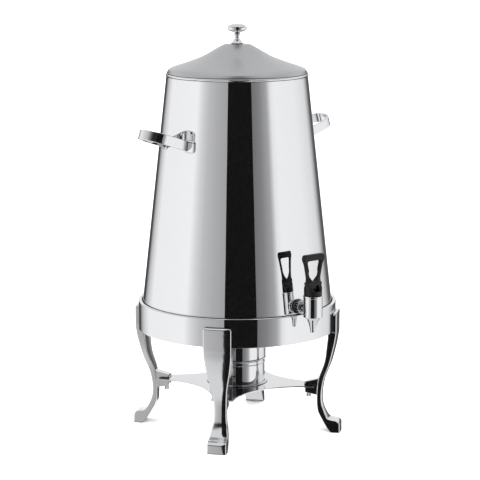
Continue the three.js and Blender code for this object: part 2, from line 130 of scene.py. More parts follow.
def signed_volume(points, quads):
    """Sum of the tetrahedra between the origin and each half of each quad."""
    a, b, c, d = (points[quads[:, k]] for k in range(4))
    return (np.einsum("ij,ij->i", a, np.cross(b, c)) + np.einsum("ij,ij->i", a, np.cross(c, d))).sum() / 6


def shell(grid, wrap_rows=False, wrap_columns=True, cap=False):
    """One closed island, as (points, faces). With cap, its first and last rows are closed by flat faces."""
    rows, columns = grid.shape[:2]
    points = grid.reshape(-1, 3)
    quads = grid_faces(rows, columns, wrap_rows, wrap_columns)
    ends = []
    if cap:
        ends = [list(range(columns))[::-1], list(range((rows - 1) * columns, rows * columns))]
    if signed_volume(points - points.mean(0), quads) < 0:
        quads = quads[:, ::-1]
        ends = [end[::-1] for end in ends]
    return points, quads.tolist() + ends


# %% [markdown]
# A piece may be built from several islands, as a casting is. `piece` puts them in one mesh, merges doubled
# points, shades it smooth, and keeps an edge sharp only where two faces meet at a clear angle.

# %% Meshes into pieces
def piece(name, islands, body, replaces, slot, sharp=38):
    """One object from (points, faces) islands; edges sharper than `sharp` degrees stay sharp."""
    points, faces, start = [], [], 0
    for island_points, island_faces in islands:
        points.append(island_points)
        faces += [[i + start for i in face] for face in island_faces]
        start += len(island_points)
    mesh = bpy.data.meshes.new(name)
    mesh.from_pydata(np.vstack(points), [], faces)
    merge_doubles(mesh)
    mesh.shade_smooth()
    mesh.set_sharp_from_angle(angle=math.radians(sharp))
    made = bpy.data.objects.new(name, mesh)
    bpy.context.scene.collection.objects.link(made)
    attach(made, body)
    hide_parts(*replaces)
    made.data.materials.append(MATERIALS[slot])
    print(f"{name}: {len(mesh.polygons)} faces")
    return made


def merge_doubles(mesh):
    """Joins points that lie in the same place, such as all points of a row at a pole."""
    work = bmesh.new()
    work.from_mesh(mesh)
    bmesh.ops.remove_doubles(work, verts=work.verts, dist=1e-6)
    work.to_mesh(mesh)
    work.free()


# %% [markdown]
# Real edges are never razor sharp, and on polished metal the small round of an edge is what catches the
# light. So `softened` swaps each corner of an outline for a short curve. It also adds a guard point on each
# side, which stops the shading of the curve from creeping over the flat beside it.

# %% Soft corners and smooth lines
def softened(points, radius, steps=5, closed=False):
    """Each corner becomes a parabola arc that starts and ends `radius` away from it along its two sides."""
    points = np.asarray(points, float)
    radius = np.broadcast_to(np.asarray(radius, float), len(points)).copy()
    before, after = np.roll(points, 1, 0) - points, np.roll(points, -1, 0) - points
    reach_before, reach_after = np.linalg.norm(before, axis=1), np.linalg.norm(after, axis=1)
    radius = np.minimum(radius, 0.42 * np.minimum(reach_before, reach_after))
    if not closed:
        radius[[0, -1]] = 0
    u, v = before / reach_before[:, None], after / reach_after[:, None]
    s = np.concatenate([[-0.15], np.linspace(0, 1, steps), [1.15]])
    toward_u = np.where(s < 0, 1.15, np.where(s > 1, 0, (1 - s) ** 2))
    toward_v = np.where(s > 1, 1.15, np.where(s < 0, 0, s**2))
    arcs = points[:, None] + radius[:, None, None] * (
        toward_u[None, :, None] * u[:, None] + toward_v[None, :, None] * v[:, None])
    flat = arcs.reshape(-1, points.shape[1])
    keep = np.ones(len(flat), bool)
    keep[1:] = np.linalg.norm(np.diff(flat, axis=0), axis=1) > 1e-9
    return flat[keep]


def flowing(points, count):
    """Catmull-Rom curve: each stretch is a cubic whose end slopes follow the neighbouring points."""
    points = np.asarray(points, float)
    padded = np.vstack([2 * points[0] - points[1], points, 2 * points[-1] - points[-2]])
    t = np.linspace(0, len(points) - 1, count)
    i = np.minimum(t.astype(int), len(points) - 2)
    f = (t - i)[:, None]
    a, b, c, d = (padded[i + k] for k in range(4))
    return 0.5 * (2 * b + (c - a) * f + (2 * a - 5 * b + 4 * c - d) * f**2 + (3 * b - a - 3 * c + d) * f**3)


# %% [markdown]
# `turned` is a lathe. The profile is a list of radius and height; a profile that starts and ends on the
# axis makes a solid knob, and one that closes on itself makes a hoop. `swell` may push the radius in and
# out round the turn, which gives ribs and knurls.

# %% Lathe and carried section
def turned(profile, centre=(0, 0), segments=160, loop=False, swell=None):
    """Each profile point goes round a circle of its own radius; swell(angle) is added to the radius."""
    profile = np.asarray(profile, float)
    angle = np.linspace(0, 2 * math.pi, segments, endpoint=False)
    radius = np.repeat(profile[:, :1], segments, 1)
    if swell is not None:
        radius = radius + np.where(radius > 1e-6, 1, 0) * swell(angle)[None] * profile[:, 2:3]
    x, y = centre[0] + radius * np.cos(angle), centre[1] + radius * np.sin(angle)
    z = np.repeat(profile[:, 1:2], segments, 1)
    return shell(np.stack([x, y, z], -1), wrap_rows=loop)


def bar(inner, outer, half, corner, steps=5):
    """Sections carried between two lines in the XZ plane. Each is a rectangle with round corners: two of its
    sides run from the inner to the outer line, and it reaches `half` to each side along Y. Every flat side
    gets points of its own, close together near the corners, so that it can be bent and keeps its shading."""
    inner, outer = np.asarray(inner, float), np.asarray(outer, float)
    middle, across = (inner + outer) / 2, (outer - inner) / 2
    depth = np.linalg.norm(across, axis=1)
    half = np.broadcast_to(half, len(inner)).astype(float)
    corner = np.minimum(np.minimum(depth, half) * 0.9, corner)
    turn = np.linspace(0, math.pi / 2, steps) + np.arange(4)[:, None] * math.pi / 2
    sign_a, sign_b = np.array([[1], [-1], [-1], [1]]), np.array([[1], [1], [-1], [-1]])
    a = sign_a * (depth - corner)[:, None, None] + np.cos(turn) * corner[:, None, None]
    b = sign_b * (half - corner)[:, None, None] + np.sin(turn) * corner[:, None, None]
    share = np.array([0.03, 0.1, 0.22, 0.36, 0.5, 0.64, 0.78, 0.9, 0.97])
    a, b = (np.concatenate([q, q[..., -1:] * (1 - share) + np.roll(q, -1, 1)[..., :1] * share], -1)
            .reshape(len(depth), -1) for q in (a, b))
    place = middle[:, None] + across[:, None] / depth[:, None, None] * a[..., None]
    return np.stack([place[..., 0], b, place[..., 1]], -1)


def spun(grid, degrees):
    """The grid turned about the Z axis."""
    c, s = math.cos(math.radians(degrees)), math.sin(math.radians(degrees))
    return grid @ np.array([[c, s, 0], [-s, c, 0], [0, 0, 1]])


# %% [markdown]
# ## Finishes
# Steel that is polished hardly has a colour: it shows the room. What tells steel from a computer's mirror
# is the small print, such as faint haze, fine grain from the wheel and a slight waviness. Several finishes
# need the same effects, so each effect is a node group that is built once, with named inputs.

# %% Node group helpers
def new_group(name, inputs, outputs):
    """An empty node group; inputs are (label, socket type, default), outputs (label, socket type)."""
    tree = bpy.data.node_groups.new(name, "ShaderNodeTree")
    for label, kind, value in inputs:
        socket = tree.interface.new_socket(name=label, in_out="INPUT", socket_type=kind)
        if value is not None:
            socket.default_value = value
    for label, kind in outputs:
        tree.interface.new_socket(name=label, in_out="OUTPUT", socket_type=kind)
    return tree, tree.nodes.new("NodeGroupInput"), tree.nodes.new("NodeGroupOutput")


def node(tree, kind, settings=None, **inputs):
    """A new node; inputs are given by socket name, as a value or as a socket to link from."""
    made = tree.nodes.new(kind)
    for key, value in (settings or {}).items():
        setattr(made, key, value)
    for key, value in inputs.items():
        socket = made.inputs[int(key[1:])] if key[0] == "i" and key[1:].isdigit() else made.inputs[key]
        if isinstance(value, bpy.types.NodeSocket):
            tree.links.new(value, socket)
        else:
            socket.default_value = value
    return made


def math_node(tree, operation, a, b=0.0, c=0.0):
    """The result of one Math node; each operand is a number or a socket."""
    return node(tree, "ShaderNodeMath", {"operation": operation}, i0=a, i1=b, i2=c).outputs[0]


# %% [markdown]
# **Haze** is what cleaning and handling leave on a polished sheet: broad soft patches where the surface is
# a touch less clear. One slow noise makes the patches and a fast one breaks them up. It puts out a value
# that is added to the roughness.

# %% Haze group
haze_tree, haze_in, haze_out = new_group(
    "handling_haze",
    [("Vector", "NodeSocketVector", None), ("Patch Scale", "NodeSocketFloat", 9.0),
     ("Amount", "NodeSocketFloat", 0.05)],
    [("Haze", "NodeSocketFloat")])
patches = node(haze_tree, "ShaderNodeTexNoise", Vector=haze_in.outputs["Vector"],
               Scale=haze_in.outputs["Patch Scale"], Detail=4.0, Roughness=0.6)
shaped = node(haze_tree, "ShaderNodeMapRange", Value=patches.outputs["Fac"])
shaped.inputs["From Min"].default_value = 0.42
shaped.inputs["From Max"].default_value = 0.74
scaled = math_node(haze_tree, "MULTIPLY", shaped.outputs[0], haze_in.outputs["Amount"])
haze_tree.links.new(scaled, haze_out.inputs["Haze"])
print("group", haze_tree.name)

# %% [markdown]
# **Turned grain** is the fine circular scratching of a part that was spun against an abrasive. We need it
# to run round the axis, so the group works out each point's distance from the axis and its angle, and reads
# a noise that changes fast with distance and height but very slowly with angle.

# %% Turned grain group
grain_tree, grain_in, grain_out = new_group(
    "turned_grain",
    [("Vector", "NodeSocketVector", None), ("Lines", "NodeSocketFloat", 900.0),
     ("Length", "NodeSocketFloat", 3.0)],
    [("Grain", "NodeSocketFloat")])
axes = node(grain_tree, "ShaderNodeSeparateXYZ", Vector=grain_in.outputs["Vector"])
flat_xy = node(grain_tree, "ShaderNodeCombineXYZ", X=axes.outputs["X"], Y=axes.outputs["Y"])
distance = node(grain_tree, "ShaderNodeVectorMath", {"operation": "LENGTH"}, i0=flat_xy.outputs[0])
angle_round = math_node(grain_tree, "ARCTAN2", axes.outputs["Y"], axes.outputs["X"])
fast_r = math_node(grain_tree, "MULTIPLY", distance.outputs["Value"], grain_in.outputs["Lines"])
fast_z = math_node(grain_tree, "MULTIPLY", axes.outputs["Z"], grain_in.outputs["Lines"])
slow_a = math_node(grain_tree, "MULTIPLY", angle_round, grain_in.outputs["Length"])
grain_place = node(grain_tree, "ShaderNodeCombineXYZ", X=fast_r, Y=fast_z, Z=slow_a)
grain_noise = node(grain_tree, "ShaderNodeTexNoise", Vector=grain_place.outputs[0], Scale=1.0, Detail=3.0,
                   Roughness=0.65)
grain_tree.links.new(grain_noise.outputs["Fac"], grain_out.inputs["Grain"])
print("group", grain_tree.name)

# %% [markdown]
# ** Joint shadow** is painted shade: it darkens the base colour in narrow places, such as the slit between
# two pieces, where a real room sends no light. An occlusion node looks a few millimetres round each
# point, and a steep ramp keeps open surfaces untouched.

# %% Joint shadow group
shadow_tree, shadow_in, shadow_out = new_group(
    "joint_shadow",
    [("Color", "NodeSocketColor", (0.8, 0.8, 0.8, 1)), ("Reach", "NodeSocketFloat", 0.004),
     ("Depth", "NodeSocketFloat", 0.9)],
    [("Color", "NodeSocketColor")])
# painted shade: occlusion decides how much the base colour is darkened
occlusion = node(shadow_tree, "ShaderNodeAmbientOcclusion", {"samples": 6},
                 Distance=shadow_in.outputs["Reach"])
openness = node(shadow_tree, "ShaderNodeMapRange", {"interpolation_type": "SMOOTHSTEP"},
                Value=occlusion.outputs["AO"])
openness.inputs["From Min"].default_value = 0.30
openness.inputs["From Max"].default_value = 0.86
kept = math_node(shadow_tree, "SUBTRACT", 1.0, shadow_in.outputs["Depth"])
lowered = math_node(shadow_tree, "MULTIPLY_ADD", openness.outputs[0], shadow_in.outputs["Depth"], kept)
darkened = node(shadow_tree, "ShaderNodeVectorMath", {"operation": "SCALE"}, i0=shadow_in.outputs["Color"],
                Scale=lowered)
shadow_tree.links.new(darkened.outputs[0], shadow_out.inputs["Color"])
print("group", shadow_tree.name)

# %% [markdown]
# Every finish starts from the same bench: a Principled shader, the object's own coordinates, and a bump
# node. The bump only gets small distances, because steel sheet is flat to the eye and only its highlights
# give it away.

# %% Material bench
MATERIALS = {}


def new_finish(slot, color, metallic, roughness):
    """A new material with its shader and the object's coordinates, filed under the record's slot name."""
    material = bpy.data.materials.new(slot)
    material.use_nodes = True
    tree = material.node_tree
    shader = tree.nodes["Principled BSDF"]
    shader.inputs["Base Color"].default_value = (*color, 1)
    shader.inputs["Metallic"].default_value = metallic
    shader.inputs["Roughness"].default_value = roughness
    place = tree.nodes.new("ShaderNodeTexCoord").outputs["Object"]
    MATERIALS[slot] = material
    print("finish", slot)
    return tree, shader, place


def use_group(tree, group, place, **inputs):
    """Puts a shared group in a material; an input's underscores stand for spaces in its label."""
    made = tree.nodes.new("ShaderNodeGroup")
    made.node_tree = group
    tree.links.new(place, made.inputs["Vector"])
    for key, value in inputs.items():
        made.inputs[key.replace("_", " ")].default_value = value
    return made.outputs[0]


def tint(tree, shader, value, dark, light, reach=0.004, depth=0.9):
    """The base colour runs from dark to light as value goes from 0 to 1; painted shade darkens the joints."""
    mix = node(tree, "ShaderNodeMix", {"data_type": "RGBA"}, i0=value, i6=(*dark, 1), i7=(*light, 1))
    # painted shade: the joint_shadow group darkens the base colour where occlusion finds a narrow place
    shadowed = tree.nodes.new("ShaderNodeGroup")
    shadowed.node_tree = shadow_tree
    shadowed.inputs["Reach"].default_value, shadowed.inputs["Depth"].default_value = reach, depth
    tree.links.new(mix.outputs[2], shadowed.inputs["Color"])
    tree.links.new(shadowed.outputs[0], shader.inputs["Base Color"])


def bump(tree, shader, height, distance):
    """Lifts the surface by height times distance, in metres."""
    made = node(tree, "ShaderNodeBump", Height=height, Distance=distance, Strength=1.0)
    tree.links.new(made.outputs[0], shader.inputs["Normal"])


def roughen(tree, shader, base, extra):
    """Roughness is the base plus whatever the extra socket gives."""
    tree.links.new(math_node(tree, "ADD", extra, base), shader.inputs["Roughness"])


# %% [markdown]
# **Polished steel** is for the sheet parts. The wheel leaves lines that only show as a trace of grain, so
# grain drives a very small change of colour, haze drives the roughness, and a slow noise gives the sheet
# its waviness.

# %% Polished steel
tree, shader, place = new_finish("polished_steel", (0.86, 0.865, 0.875), 1.0, 0.05)
haze = use_group(tree, haze_tree, place, Patch_Scale=11.0, Amount=0.03)
grain = use_group(tree, grain_tree, place, Lines=700.0, Length=5.0)
roughen(tree, shader, 0.02, haze)
tint(tree, shader, grain, (0.835, 0.84, 0.85), (0.885, 0.89, 0.90))
wave = node(tree, "ShaderNodeTexNoise", Vector=place, Scale=16.0, Detail=1.0)
bump(tree, shader, wave.outputs["Fac"], 0.00012)

# %% [markdown]
# **Polished casting** is for the legs and thumbscrews. A casting is buffed by hand, so it keeps soft lumps
# that a rolled sheet doesn't have, and pores here and there that stay a little darker.

# %% Polished casting
tree, shader, place = new_finish("cast_steel", (0.88, 0.885, 0.89), 1.0, 0.1)
haze = use_group(tree, haze_tree, place, Patch_Scale=26.0, Amount=0.07)
roughen(tree, shader, 0.07, haze)
lumps = node(tree, "ShaderNodeTexNoise", Vector=place, Scale=55.0, Detail=2.0)
bump(tree, shader, lumps.outputs["Fac"], 0.00014)
pores = node(tree, "ShaderNodeTexVoronoi", Vector=place, Scale=420.0)
pore_mask = node(tree, "ShaderNodeMapRange", Value=pores.outputs["Distance"])
pore_mask.inputs["From Min"].default_value = 0.02
pore_mask.inputs["From Max"].default_value = 0.16
tint(tree, shader, pore_mask.outputs[0], (0.72, 0.72, 0.73), (0.885, 0.89, 0.895))

# %% [markdown]
# **Satin steel** is for the lid. It was brushed while it turned, so the grain runs round it. Here the grain
# drives three things at once: colour, roughness and height. That is what makes the light spread across the
# lines.

# %% Satin steel
tree, shader, place = new_finish("satin_steel", (0.74, 0.745, 0.755), 1.0, 0.34)
grain = use_group(tree, grain_tree, place, Lines=1300.0, Length=4.0)
haze = use_group(tree, haze_tree, place, Patch_Scale=14.0, Amount=0.06)
spread = math_node(tree, "MULTIPLY_ADD", grain, 0.14, 0.25)
tree.links.new(math_node(tree, "ADD", spread, haze), shader.inputs["Roughness"])
tint(tree, shader, grain, (0.50, 0.505, 0.51), (0.68, 0.685, 0.69), reach=0.003)
bump(tree, shader, grain, 0.00003)

# %% [markdown]
# **Plain steel** is for screws, bolts and wire: duller, greyer, and with short scratches in no special
# direction.

# %% Plain steel
tree, shader, place = new_finish("plain_steel", (0.62, 0.63, 0.64), 1.0, 0.28)
scratches = node(tree, "ShaderNodeTexNoise", Vector=place, Scale=650.0, Detail=5.0, Roughness=0.7)
roughen(tree, shader, 0.2, math_node(tree, "MULTIPLY", scratches.outputs["Fac"], 0.16))
tint(tree, shader, scratches.outputs["Fac"], (0.52, 0.53, 0.54), (0.72, 0.73, 0.74))

# %% [markdown]
# **Black plastic** is moulded, heat-proof, and has a fine satin texture from its mould. It isn't pure
# black: a fine noise lifts it a little, and grease from hands makes patches of it glossier.

# %% Black plastic, silicone and rubber
tree, shader, place = new_finish("black_plastic", (0.01, 0.01, 0.011), 0.0, 0.3)
shader.inputs["Specular IOR Level"].default_value = 0.28
mould = node(tree, "ShaderNodeTexNoise", Vector=place, Scale=1400.0, Detail=3.0)
bump(tree, shader, mould.outputs["Fac"], 0.00005)
tint(tree, shader, mould.outputs["Fac"], (0.0025, 0.0025, 0.003), (0.0065, 0.0065, 0.007))
worn = use_group(tree, haze_tree, place, Patch_Scale=40.0, Amount=0.14)
tree.links.new(math_node(tree, "SUBTRACT", 0.3, worn), shader.inputs["Roughness"])

tree, shader, place = new_finish("silicone", (0.8, 0.79, 0.76), 0.0, 0.55)
chalk = node(tree, "ShaderNodeTexNoise", Vector=place, Scale=300.0, Detail=2.0)
tint(tree, shader, chalk.outputs["Fac"], (0.72, 0.71, 0.67), (0.86, 0.85, 0.82))
bump(tree, shader, chalk.outputs["Fac"], 0.00003)

tree, shader, place = new_finish("black_rubber", (0.02, 0.02, 0.02), 0.0, 0.6)
dust = node(tree, "ShaderNodeTexNoise", Vector=place, Scale=420.0, Detail=3.0)
tint(tree, shader, dust.outputs["Fac"], (0.010, 0.010, 0.010), (0.032, 0.032, 0.032))

# %% [markdown]
# Hidden parts, such as the spring and the nut, keep their frame mesh. Each takes the finish that the record
# names.

# %% Finish the frame's own meshes
for part in frame["record"]["subparts"]:
    frame_mesh = frame["nodes"][part["node"]].data
    frame_mesh.materials.clear()
    frame_mesh.materials.append(MATERIALS[part["material_slot"]])
print("finishes:", ", ".join(MATERIALS))

# %% [markdown]
# ## The support ring
# The hoop is rolled sheet. Its upper edge turns inwards and drops to a narrow seat that the urn stands on.
# All that is one profile that closes on itself, turned once round. The outer top corner gets the largest
# round.

# %% Support ring
RING_SHEET = 1.6 * MM
SEAT_DROP = 6 * MM
ring_in = ring_r - RING_SHEET
seat_z = ring_top - SEAT_DROP
recess_r = wall_r(seat_z) + 3 * GAP
ring_profile = softened([
    [ring_in, ring_z], [ring_r, ring_z], [ring_r, ring_top], [recess_r, ring_top], [recess_r, seat_z],
    [recess_r - 16 * MM, seat_z], [recess_r - 16 * MM, seat_z - RING_SHEET],
    [recess_r + RING_SHEET, seat_z - RING_SHEET], [recess_r + RING_SHEET, ring_top - RING_SHEET],
    [ring_in, ring_top - RING_SHEET],
], np.array([0.5, 0.5, 1.4, 0.5, 0.3, 0.4, 0.4, 0.8, 0.4, 0.8]) * MM, closed=True)
piece("carrier_ring", [turned(ring_profile, segments=256, loop=True)], "stand", ["support_ring"],
      "polished_steel")

# %% [markdown]
# ## The legs
# A leg is an S-curve in side view and a slender vase in front view. It was turned about the urn's axis, so
# its front lies flush with the hoop's roundness. We describe it by three lines over height: how far the
# inner face stands from the axis, how far the outer face does, and the half width. `bar` carries a rounded
# rectangle between them.

# %% Leg lines
LEG_HALF, ANKLE_HALF, FOOT_HALF = 22.3 * MM, 9.9 * MM, 15.3 * MM
FOOT_H = 20 * MM
leg_top = high("leg_front_right")
leg_out = ring_r + 6.6 * MM
leg_in = ring_r - 7.5 * MM
ankle_in = ring_r - 27.4 * MM
toe, instep_r = ring_r + 11.6 * MM, ring_r - 8.5 * MM


def line(points, z):
    """Smooth line through (distance, height) points, read at the heights z."""
    curve = flowing(points, 240)
    return np.interp(z, curve[:, 1], curve[:, 0])


leg_inner = [
    [ring_r - 3.6 * MM, 0], [ring_r - 9.6 * MM, FOOT_H * 0.36], [ring_r - 17.8 * MM, FOOT_H * 1.05],
    [ankle_in + 1.6 * MM, ring_z * 0.22], [ankle_in, ring_z * 0.36], [ankle_in + 3.2 * MM, ring_z * 0.53],
    [ring_r - 13.4 * MM, ring_z * 0.71], [leg_in, ring_z * 0.94],
]
leg_outer = [
    [instep_r, FOOT_H + 2.5 * MM], [ankle_in + 10.6 * MM, ring_z * 0.25],
    [ankle_in + 8.8 * MM, ring_z * 0.36], [ring_r - 15 * MM, ring_z * 0.51],
    [ring_r - 3.9 * MM, ring_z * 0.69], [leg_out - 3.2 * MM, ring_z * 0.86], [leg_out, ring_z * 0.98],
]
leg_side = [
    [FOOT_HALF, 0], [FOOT_HALF - 0.8 * MM, FOOT_H], [ANKLE_HALF + 0.6 * MM, ring_z * 0.26],
    [ANKLE_HALF, ring_z * 0.37], [ANKLE_HALF + 2 * MM, ring_z * 0.55], [LEG_HALF - 3.7 * MM, ring_z * 0.76],
    [LEG_HALF - 0.6 * MM, ring_z * 0.9], [LEG_HALF, ring_z],
]
print("leg line points: inner", len(leg_inner), "outer", len(leg_outer), "side", len(leg_side))

# %% [markdown]
# Three stretches make up the height. The toe's top is a round shoulder, the shaft follows the lines above,
# and over the hoop the leg thins to a plate. The plate's top corners are round, which we get by narrowing
# the last sections.

# %% Leg stations
TOE_ROUND, TOE_DEEP = 8 * MM, 9 * MM
toe_turn = np.linspace(0, math.pi / 2, 12)
toe_z = np.concatenate([np.linspace(0, FOOT_H - TOE_ROUND, 8),
                        FOOT_H - TOE_ROUND + (TOE_ROUND - 0.4 * MM) * np.sin(toe_turn)])
toe_r = np.concatenate([np.full(8, toe), toe - TOE_DEEP * (1 - np.cos(toe_turn))])
step_share = np.linspace(0.1, 1, 9)
step_z = FOOT_H - 0.4 * MM + 3.9 * MM * step_share**1.4
step_r = instep_r + (toe - TOE_DEEP - instep_r) * (1 - step_share) ** 1.8
shaft_z = np.linspace(FOOT_H + 4.5 * MM, ring_z - GAP, 110)
PLATE_ROUND = 4 * MM
plate_turn = np.linspace(0, math.pi / 2, 10)[1:]
plate_z = np.concatenate([[ring_z - GAP, ring_z + 1 * MM],
                          np.linspace(ring_z + 4 * MM, leg_top - PLATE_ROUND, 8),
                          leg_top - PLATE_ROUND + PLATE_ROUND * np.sin(plate_turn)])
stations = np.concatenate([toe_z, step_z, shaft_z, plate_z])
outer_line = np.concatenate([toe_r, step_r, line(leg_outer, shaft_z), np.full(len(plate_z), leg_out)])
inner_line = np.concatenate([line(leg_inner, stations[:-len(plate_z)]), np.full(len(plate_z), ring_r + GAP)])
half_line = line(leg_side, np.minimum(stations, ring_z))
half_line[-len(plate_turn):] -= PLATE_ROUND * (1 - np.cos(plate_turn))
outer_line[-len(plate_turn):] -= 2.5 * MM * (1 - np.cos(plate_turn))
print("leg sections", len(stations))

# %% [markdown]
# A flat section would leave the leg's front flat. The real one is round about the urn's axis, so each point
# slides back by the sagitta: its distance from the axis stays the same while it moves sideways.

# %% Leg casting with its clamp
def about_axis(grid, crown=0.0):
    """Sideways offsets are kept, and the distance from the urn's axis stays what it was at the middle. The
    crown adds a rounder front: points slide further back by crown times the sideways offset squared."""
    out = grid.copy()
    out[..., 0] = np.sqrt(np.maximum(grid[..., 0] ** 2 - grid[..., 1] ** 2, 0)) - crown * grid[..., 1] ** 2
    return out


def upright(r, z):
    """A line in the leg's plane, as (distance from the axis, height)."""
    return np.stack([np.broadcast_to(r, np.shape(z)), z], -1)


LUG_CORNER = 0.8 * MM
lug_tip, lug_half = ring_r - 48 * MM, ANKLE_HALF - 1 * MM
slot_end = ankle_in - 3 * MM
jaw_r = np.concatenate([lug_tip + 1.8 * MM * (1 - np.cos(np.linspace(0, math.pi / 2, 6))),
                        np.linspace(lug_tip + 3 * MM, slot_end, 10)])
tip_share = np.clip((jaw_r - lug_tip) / (1.8 * MM), 0, 1)
round_tip = np.sqrt(1 - (1 - tip_share) ** 2)
upper_top = np.interp(jaw_r, [lug_tip, slot_end], [4.8 * MM, 9.2 * MM])
lower_depth = np.interp(jaw_r, [lug_tip, lug_tip + 8 * MM, slot_end], [9.8 * MM, 11.6 * MM, 13.6 * MM])


def jaw(root_z, reach):
    """One jaw of the clamp: from the flat that faces the shelf out to the jaw's back, with a round tip."""
    inner = upright(jaw_r, np.full(len(jaw_r), root_z))
    outer = upright(jaw_r, root_z + reach * (0.35 + 0.65 * round_tip))
    return about_axis(bar(inner, outer, lug_half * (0.8 + 0.2 * round_tip), LUG_CORNER))


shin_r = ankle_in + 4 * MM
clamp_root_r = np.linspace(slot_end - 0.2 * MM, shin_r, 6)
clamp_below = np.interp(clamp_root_r, [slot_end, shin_r], [-13.6 * MM, -16 * MM]) + shelf_z
clamp_above = np.interp(clamp_root_r, [slot_end, shin_r], [9.2 * MM, 12 * MM]) + shelf_top
clamp_root = about_axis(bar(upright(clamp_root_r, clamp_below), upright(clamp_root_r, clamp_above), lug_half,
                            LUG_CORNER))
crown_line = np.interp(stations, [0, FOOT_H, FOOT_H * 1.6, ring_z * 0.36, ring_z * 0.6, ring_z * 0.9, ring_z],
                       [0, 2, 9, 13, 5, 1, 0])[:, None]
leg_flat = bar(upright(inner_line, stations), upright(outer_line, stations), half_line, 1.5 * MM)
front_share = np.clip((leg_flat[..., 0] - inner_line[:, None]) / (outer_line - inner_line)[:, None], 0, 1)
leg_grid = about_axis(leg_flat, crown_line * front_share)
lug_grids = [jaw(shelf_top + GAP, upper_top), jaw(shelf_z - GAP, -lower_depth), clamp_root]
LEG_ANGLES = {"front_right": -50, "back_right": 40, "back_left": 130, "front_left": 220}
for corner, degrees in LEG_ANGLES.items():
    islands = [shell(spun(grid, degrees), cap=True) for grid in [leg_grid, *lug_grids]]
    piece(f"cast_leg_{corner}", islands, "stand", [f"leg_{corner}"], "cast_steel", sharp=50)

# %% [markdown]
# ## Thumbscrews
# Each arm of the shelf is pinched by a small screw from below. Its head is knurled, so a hand can grip it:
# the radius rises and falls in short waves round the turn, and the waves fade at the head's two rounded
# rims.

# %% Thumbscrews
def knurl(angle):
    """Twenty shallow waves round the head."""
    return 0.22 * MM * np.cos(20 * angle)


screw_r = lug_tip + 6 * MM
for corner, degrees in LEG_ANGLES.items():
    node_name = f"shelf_thumbscrew_{corner}"
    x, y = screw_r * math.cos(math.radians(degrees)), screw_r * math.sin(math.radians(degrees))
    bottom, top, head_r = low(node_name), high(node_name), 3.75 * MM
    head_top = bottom + 6.4 * MM
    outline = softened([[0, bottom, 0], [head_r, bottom, 0], [head_r, bottom + 0.8 * MM, 1],
                        [head_r, head_top - 0.8 * MM, 1], [head_r, head_top, 0], [2 * MM, head_top, 0],
                        [2 * MM, top, 0], [0, top, 0]], 0.4 * MM)
    piece(f"knurled_screw_{corner}", [turned(outline, (x, y), 80, swell=knurl)], f"thumbscrew_{corner}",
          [node_name], "cast_steel", sharp=60)

# %% [markdown]
# ## The fuel shelf
# One thin mirror-bright plate with four arms. Its edge is four concave arcs, one between each pair of arms,
# and each arm's end is an arc about the axis. Top and bottom are the same outline; a small bevel rounds the
# edge.

# %% Fuel shelf
arm_end = slot_end - GAP
arc_r = 112.5 * MM
arc_centre = 71.5 * MM + arc_r
arc_span = math.acos((arc_centre - arm_end * math.sqrt(0.5) - 12 * MM) / arc_r)
sweep = np.linspace(arc_span, -arc_span, 72)
one_side = np.stack([arc_centre - arc_r * np.cos(sweep), -arc_r * np.sin(sweep)], -1)
quarter_turns = np.radians(np.array([0, 90, 180, 270]) - 5)
turn_c, turn_s = np.cos(quarter_turns), np.sin(quarter_turns)
turns = np.array([[turn_c, turn_s], [-turn_s, turn_c]])
edge = np.einsum("nj,jik->kni", one_side, turns).reshape(-1, 2)
edge *= np.minimum(1, arm_end / np.linalg.norm(edge, axis=1))[:, None]


def plate(outline, z0, z1):
    """A flat outline given thickness: bottom face, top face, and one quad for each side of the outline."""
    count = len(outline)
    points = np.vstack([np.c_[outline, np.full(count, z0)], np.c_[outline, np.full(count, z1)]])
    i = np.arange(count)
    sides = np.stack([i, (i + 1) % count, (i + 1) % count + count, i + count], -1)
    return points, sides.tolist() + [list(range(count))[::-1], list(range(count, 2 * count))]


def bevelled(made, width, segments):
    """Rounds every edge that turns by more than 40 degrees."""
    modifier = made.modifiers.new("edge_round", "BEVEL")
    modifier.width, modifier.segments = width, segments
    modifier.limit_method, modifier.angle_limit = "ANGLE", math.radians(40)
    modifier.harden_normals = True


shelf = piece("mirror_shelf", [plate(edge, shelf_z, shelf_top)], "stand", ["fuel_shelf"], "polished_steel")
bevelled(shelf, 0.35 * MM, 2)

# %% [markdown]
# ## The burner
# A small drum holds the can of gel fuel. It has a foot flange and a rolled bead at its mouth, and a loose
# cover with a hole for the flame. Both are spun sheet, so both are lathe profiles that go down the outside
# and up the inside.

# %% Burner holder and cover
can_r = 45 * MM
drum_z, drum_top = low("burner_holder"), high("burner_holder")
cover_z, cover_top = drum_top + GAP, high("burner_cover")
foot_r, cover_r = half_x("burner_holder"), half_x("burner_cover")
drum = softened([
    [0, drum_z], [foot_r, drum_z], [foot_r, drum_z + SHEET], [can_r, drum_z + 1.6 * MM],
    [can_r, drum_top - 9.2 * MM], [can_r + 0.7 * MM, drum_top - 8.6 * MM], [can_r, drum_top - 8 * MM],
    [can_r, drum_top - 3.6 * MM], [can_r + 1.4 * MM, drum_top - 3.1 * MM],
    [can_r + 2.1 * MM, drum_top - 1.8 * MM], [can_r + 1.4 * MM, drum_top - 0.5 * MM], [can_r, drum_top],
    [can_r - SHEET, drum_top],
    [can_r - SHEET, drum_z + SHEET], [0, drum_z + SHEET],
], 0.6 * MM)
piece("burner_drum", [turned(drum, segments=128)], "burner", ["burner_holder"], "polished_steel")
spigot, spigot_z = can_r - SHEET - GAP, low("burner_cover")
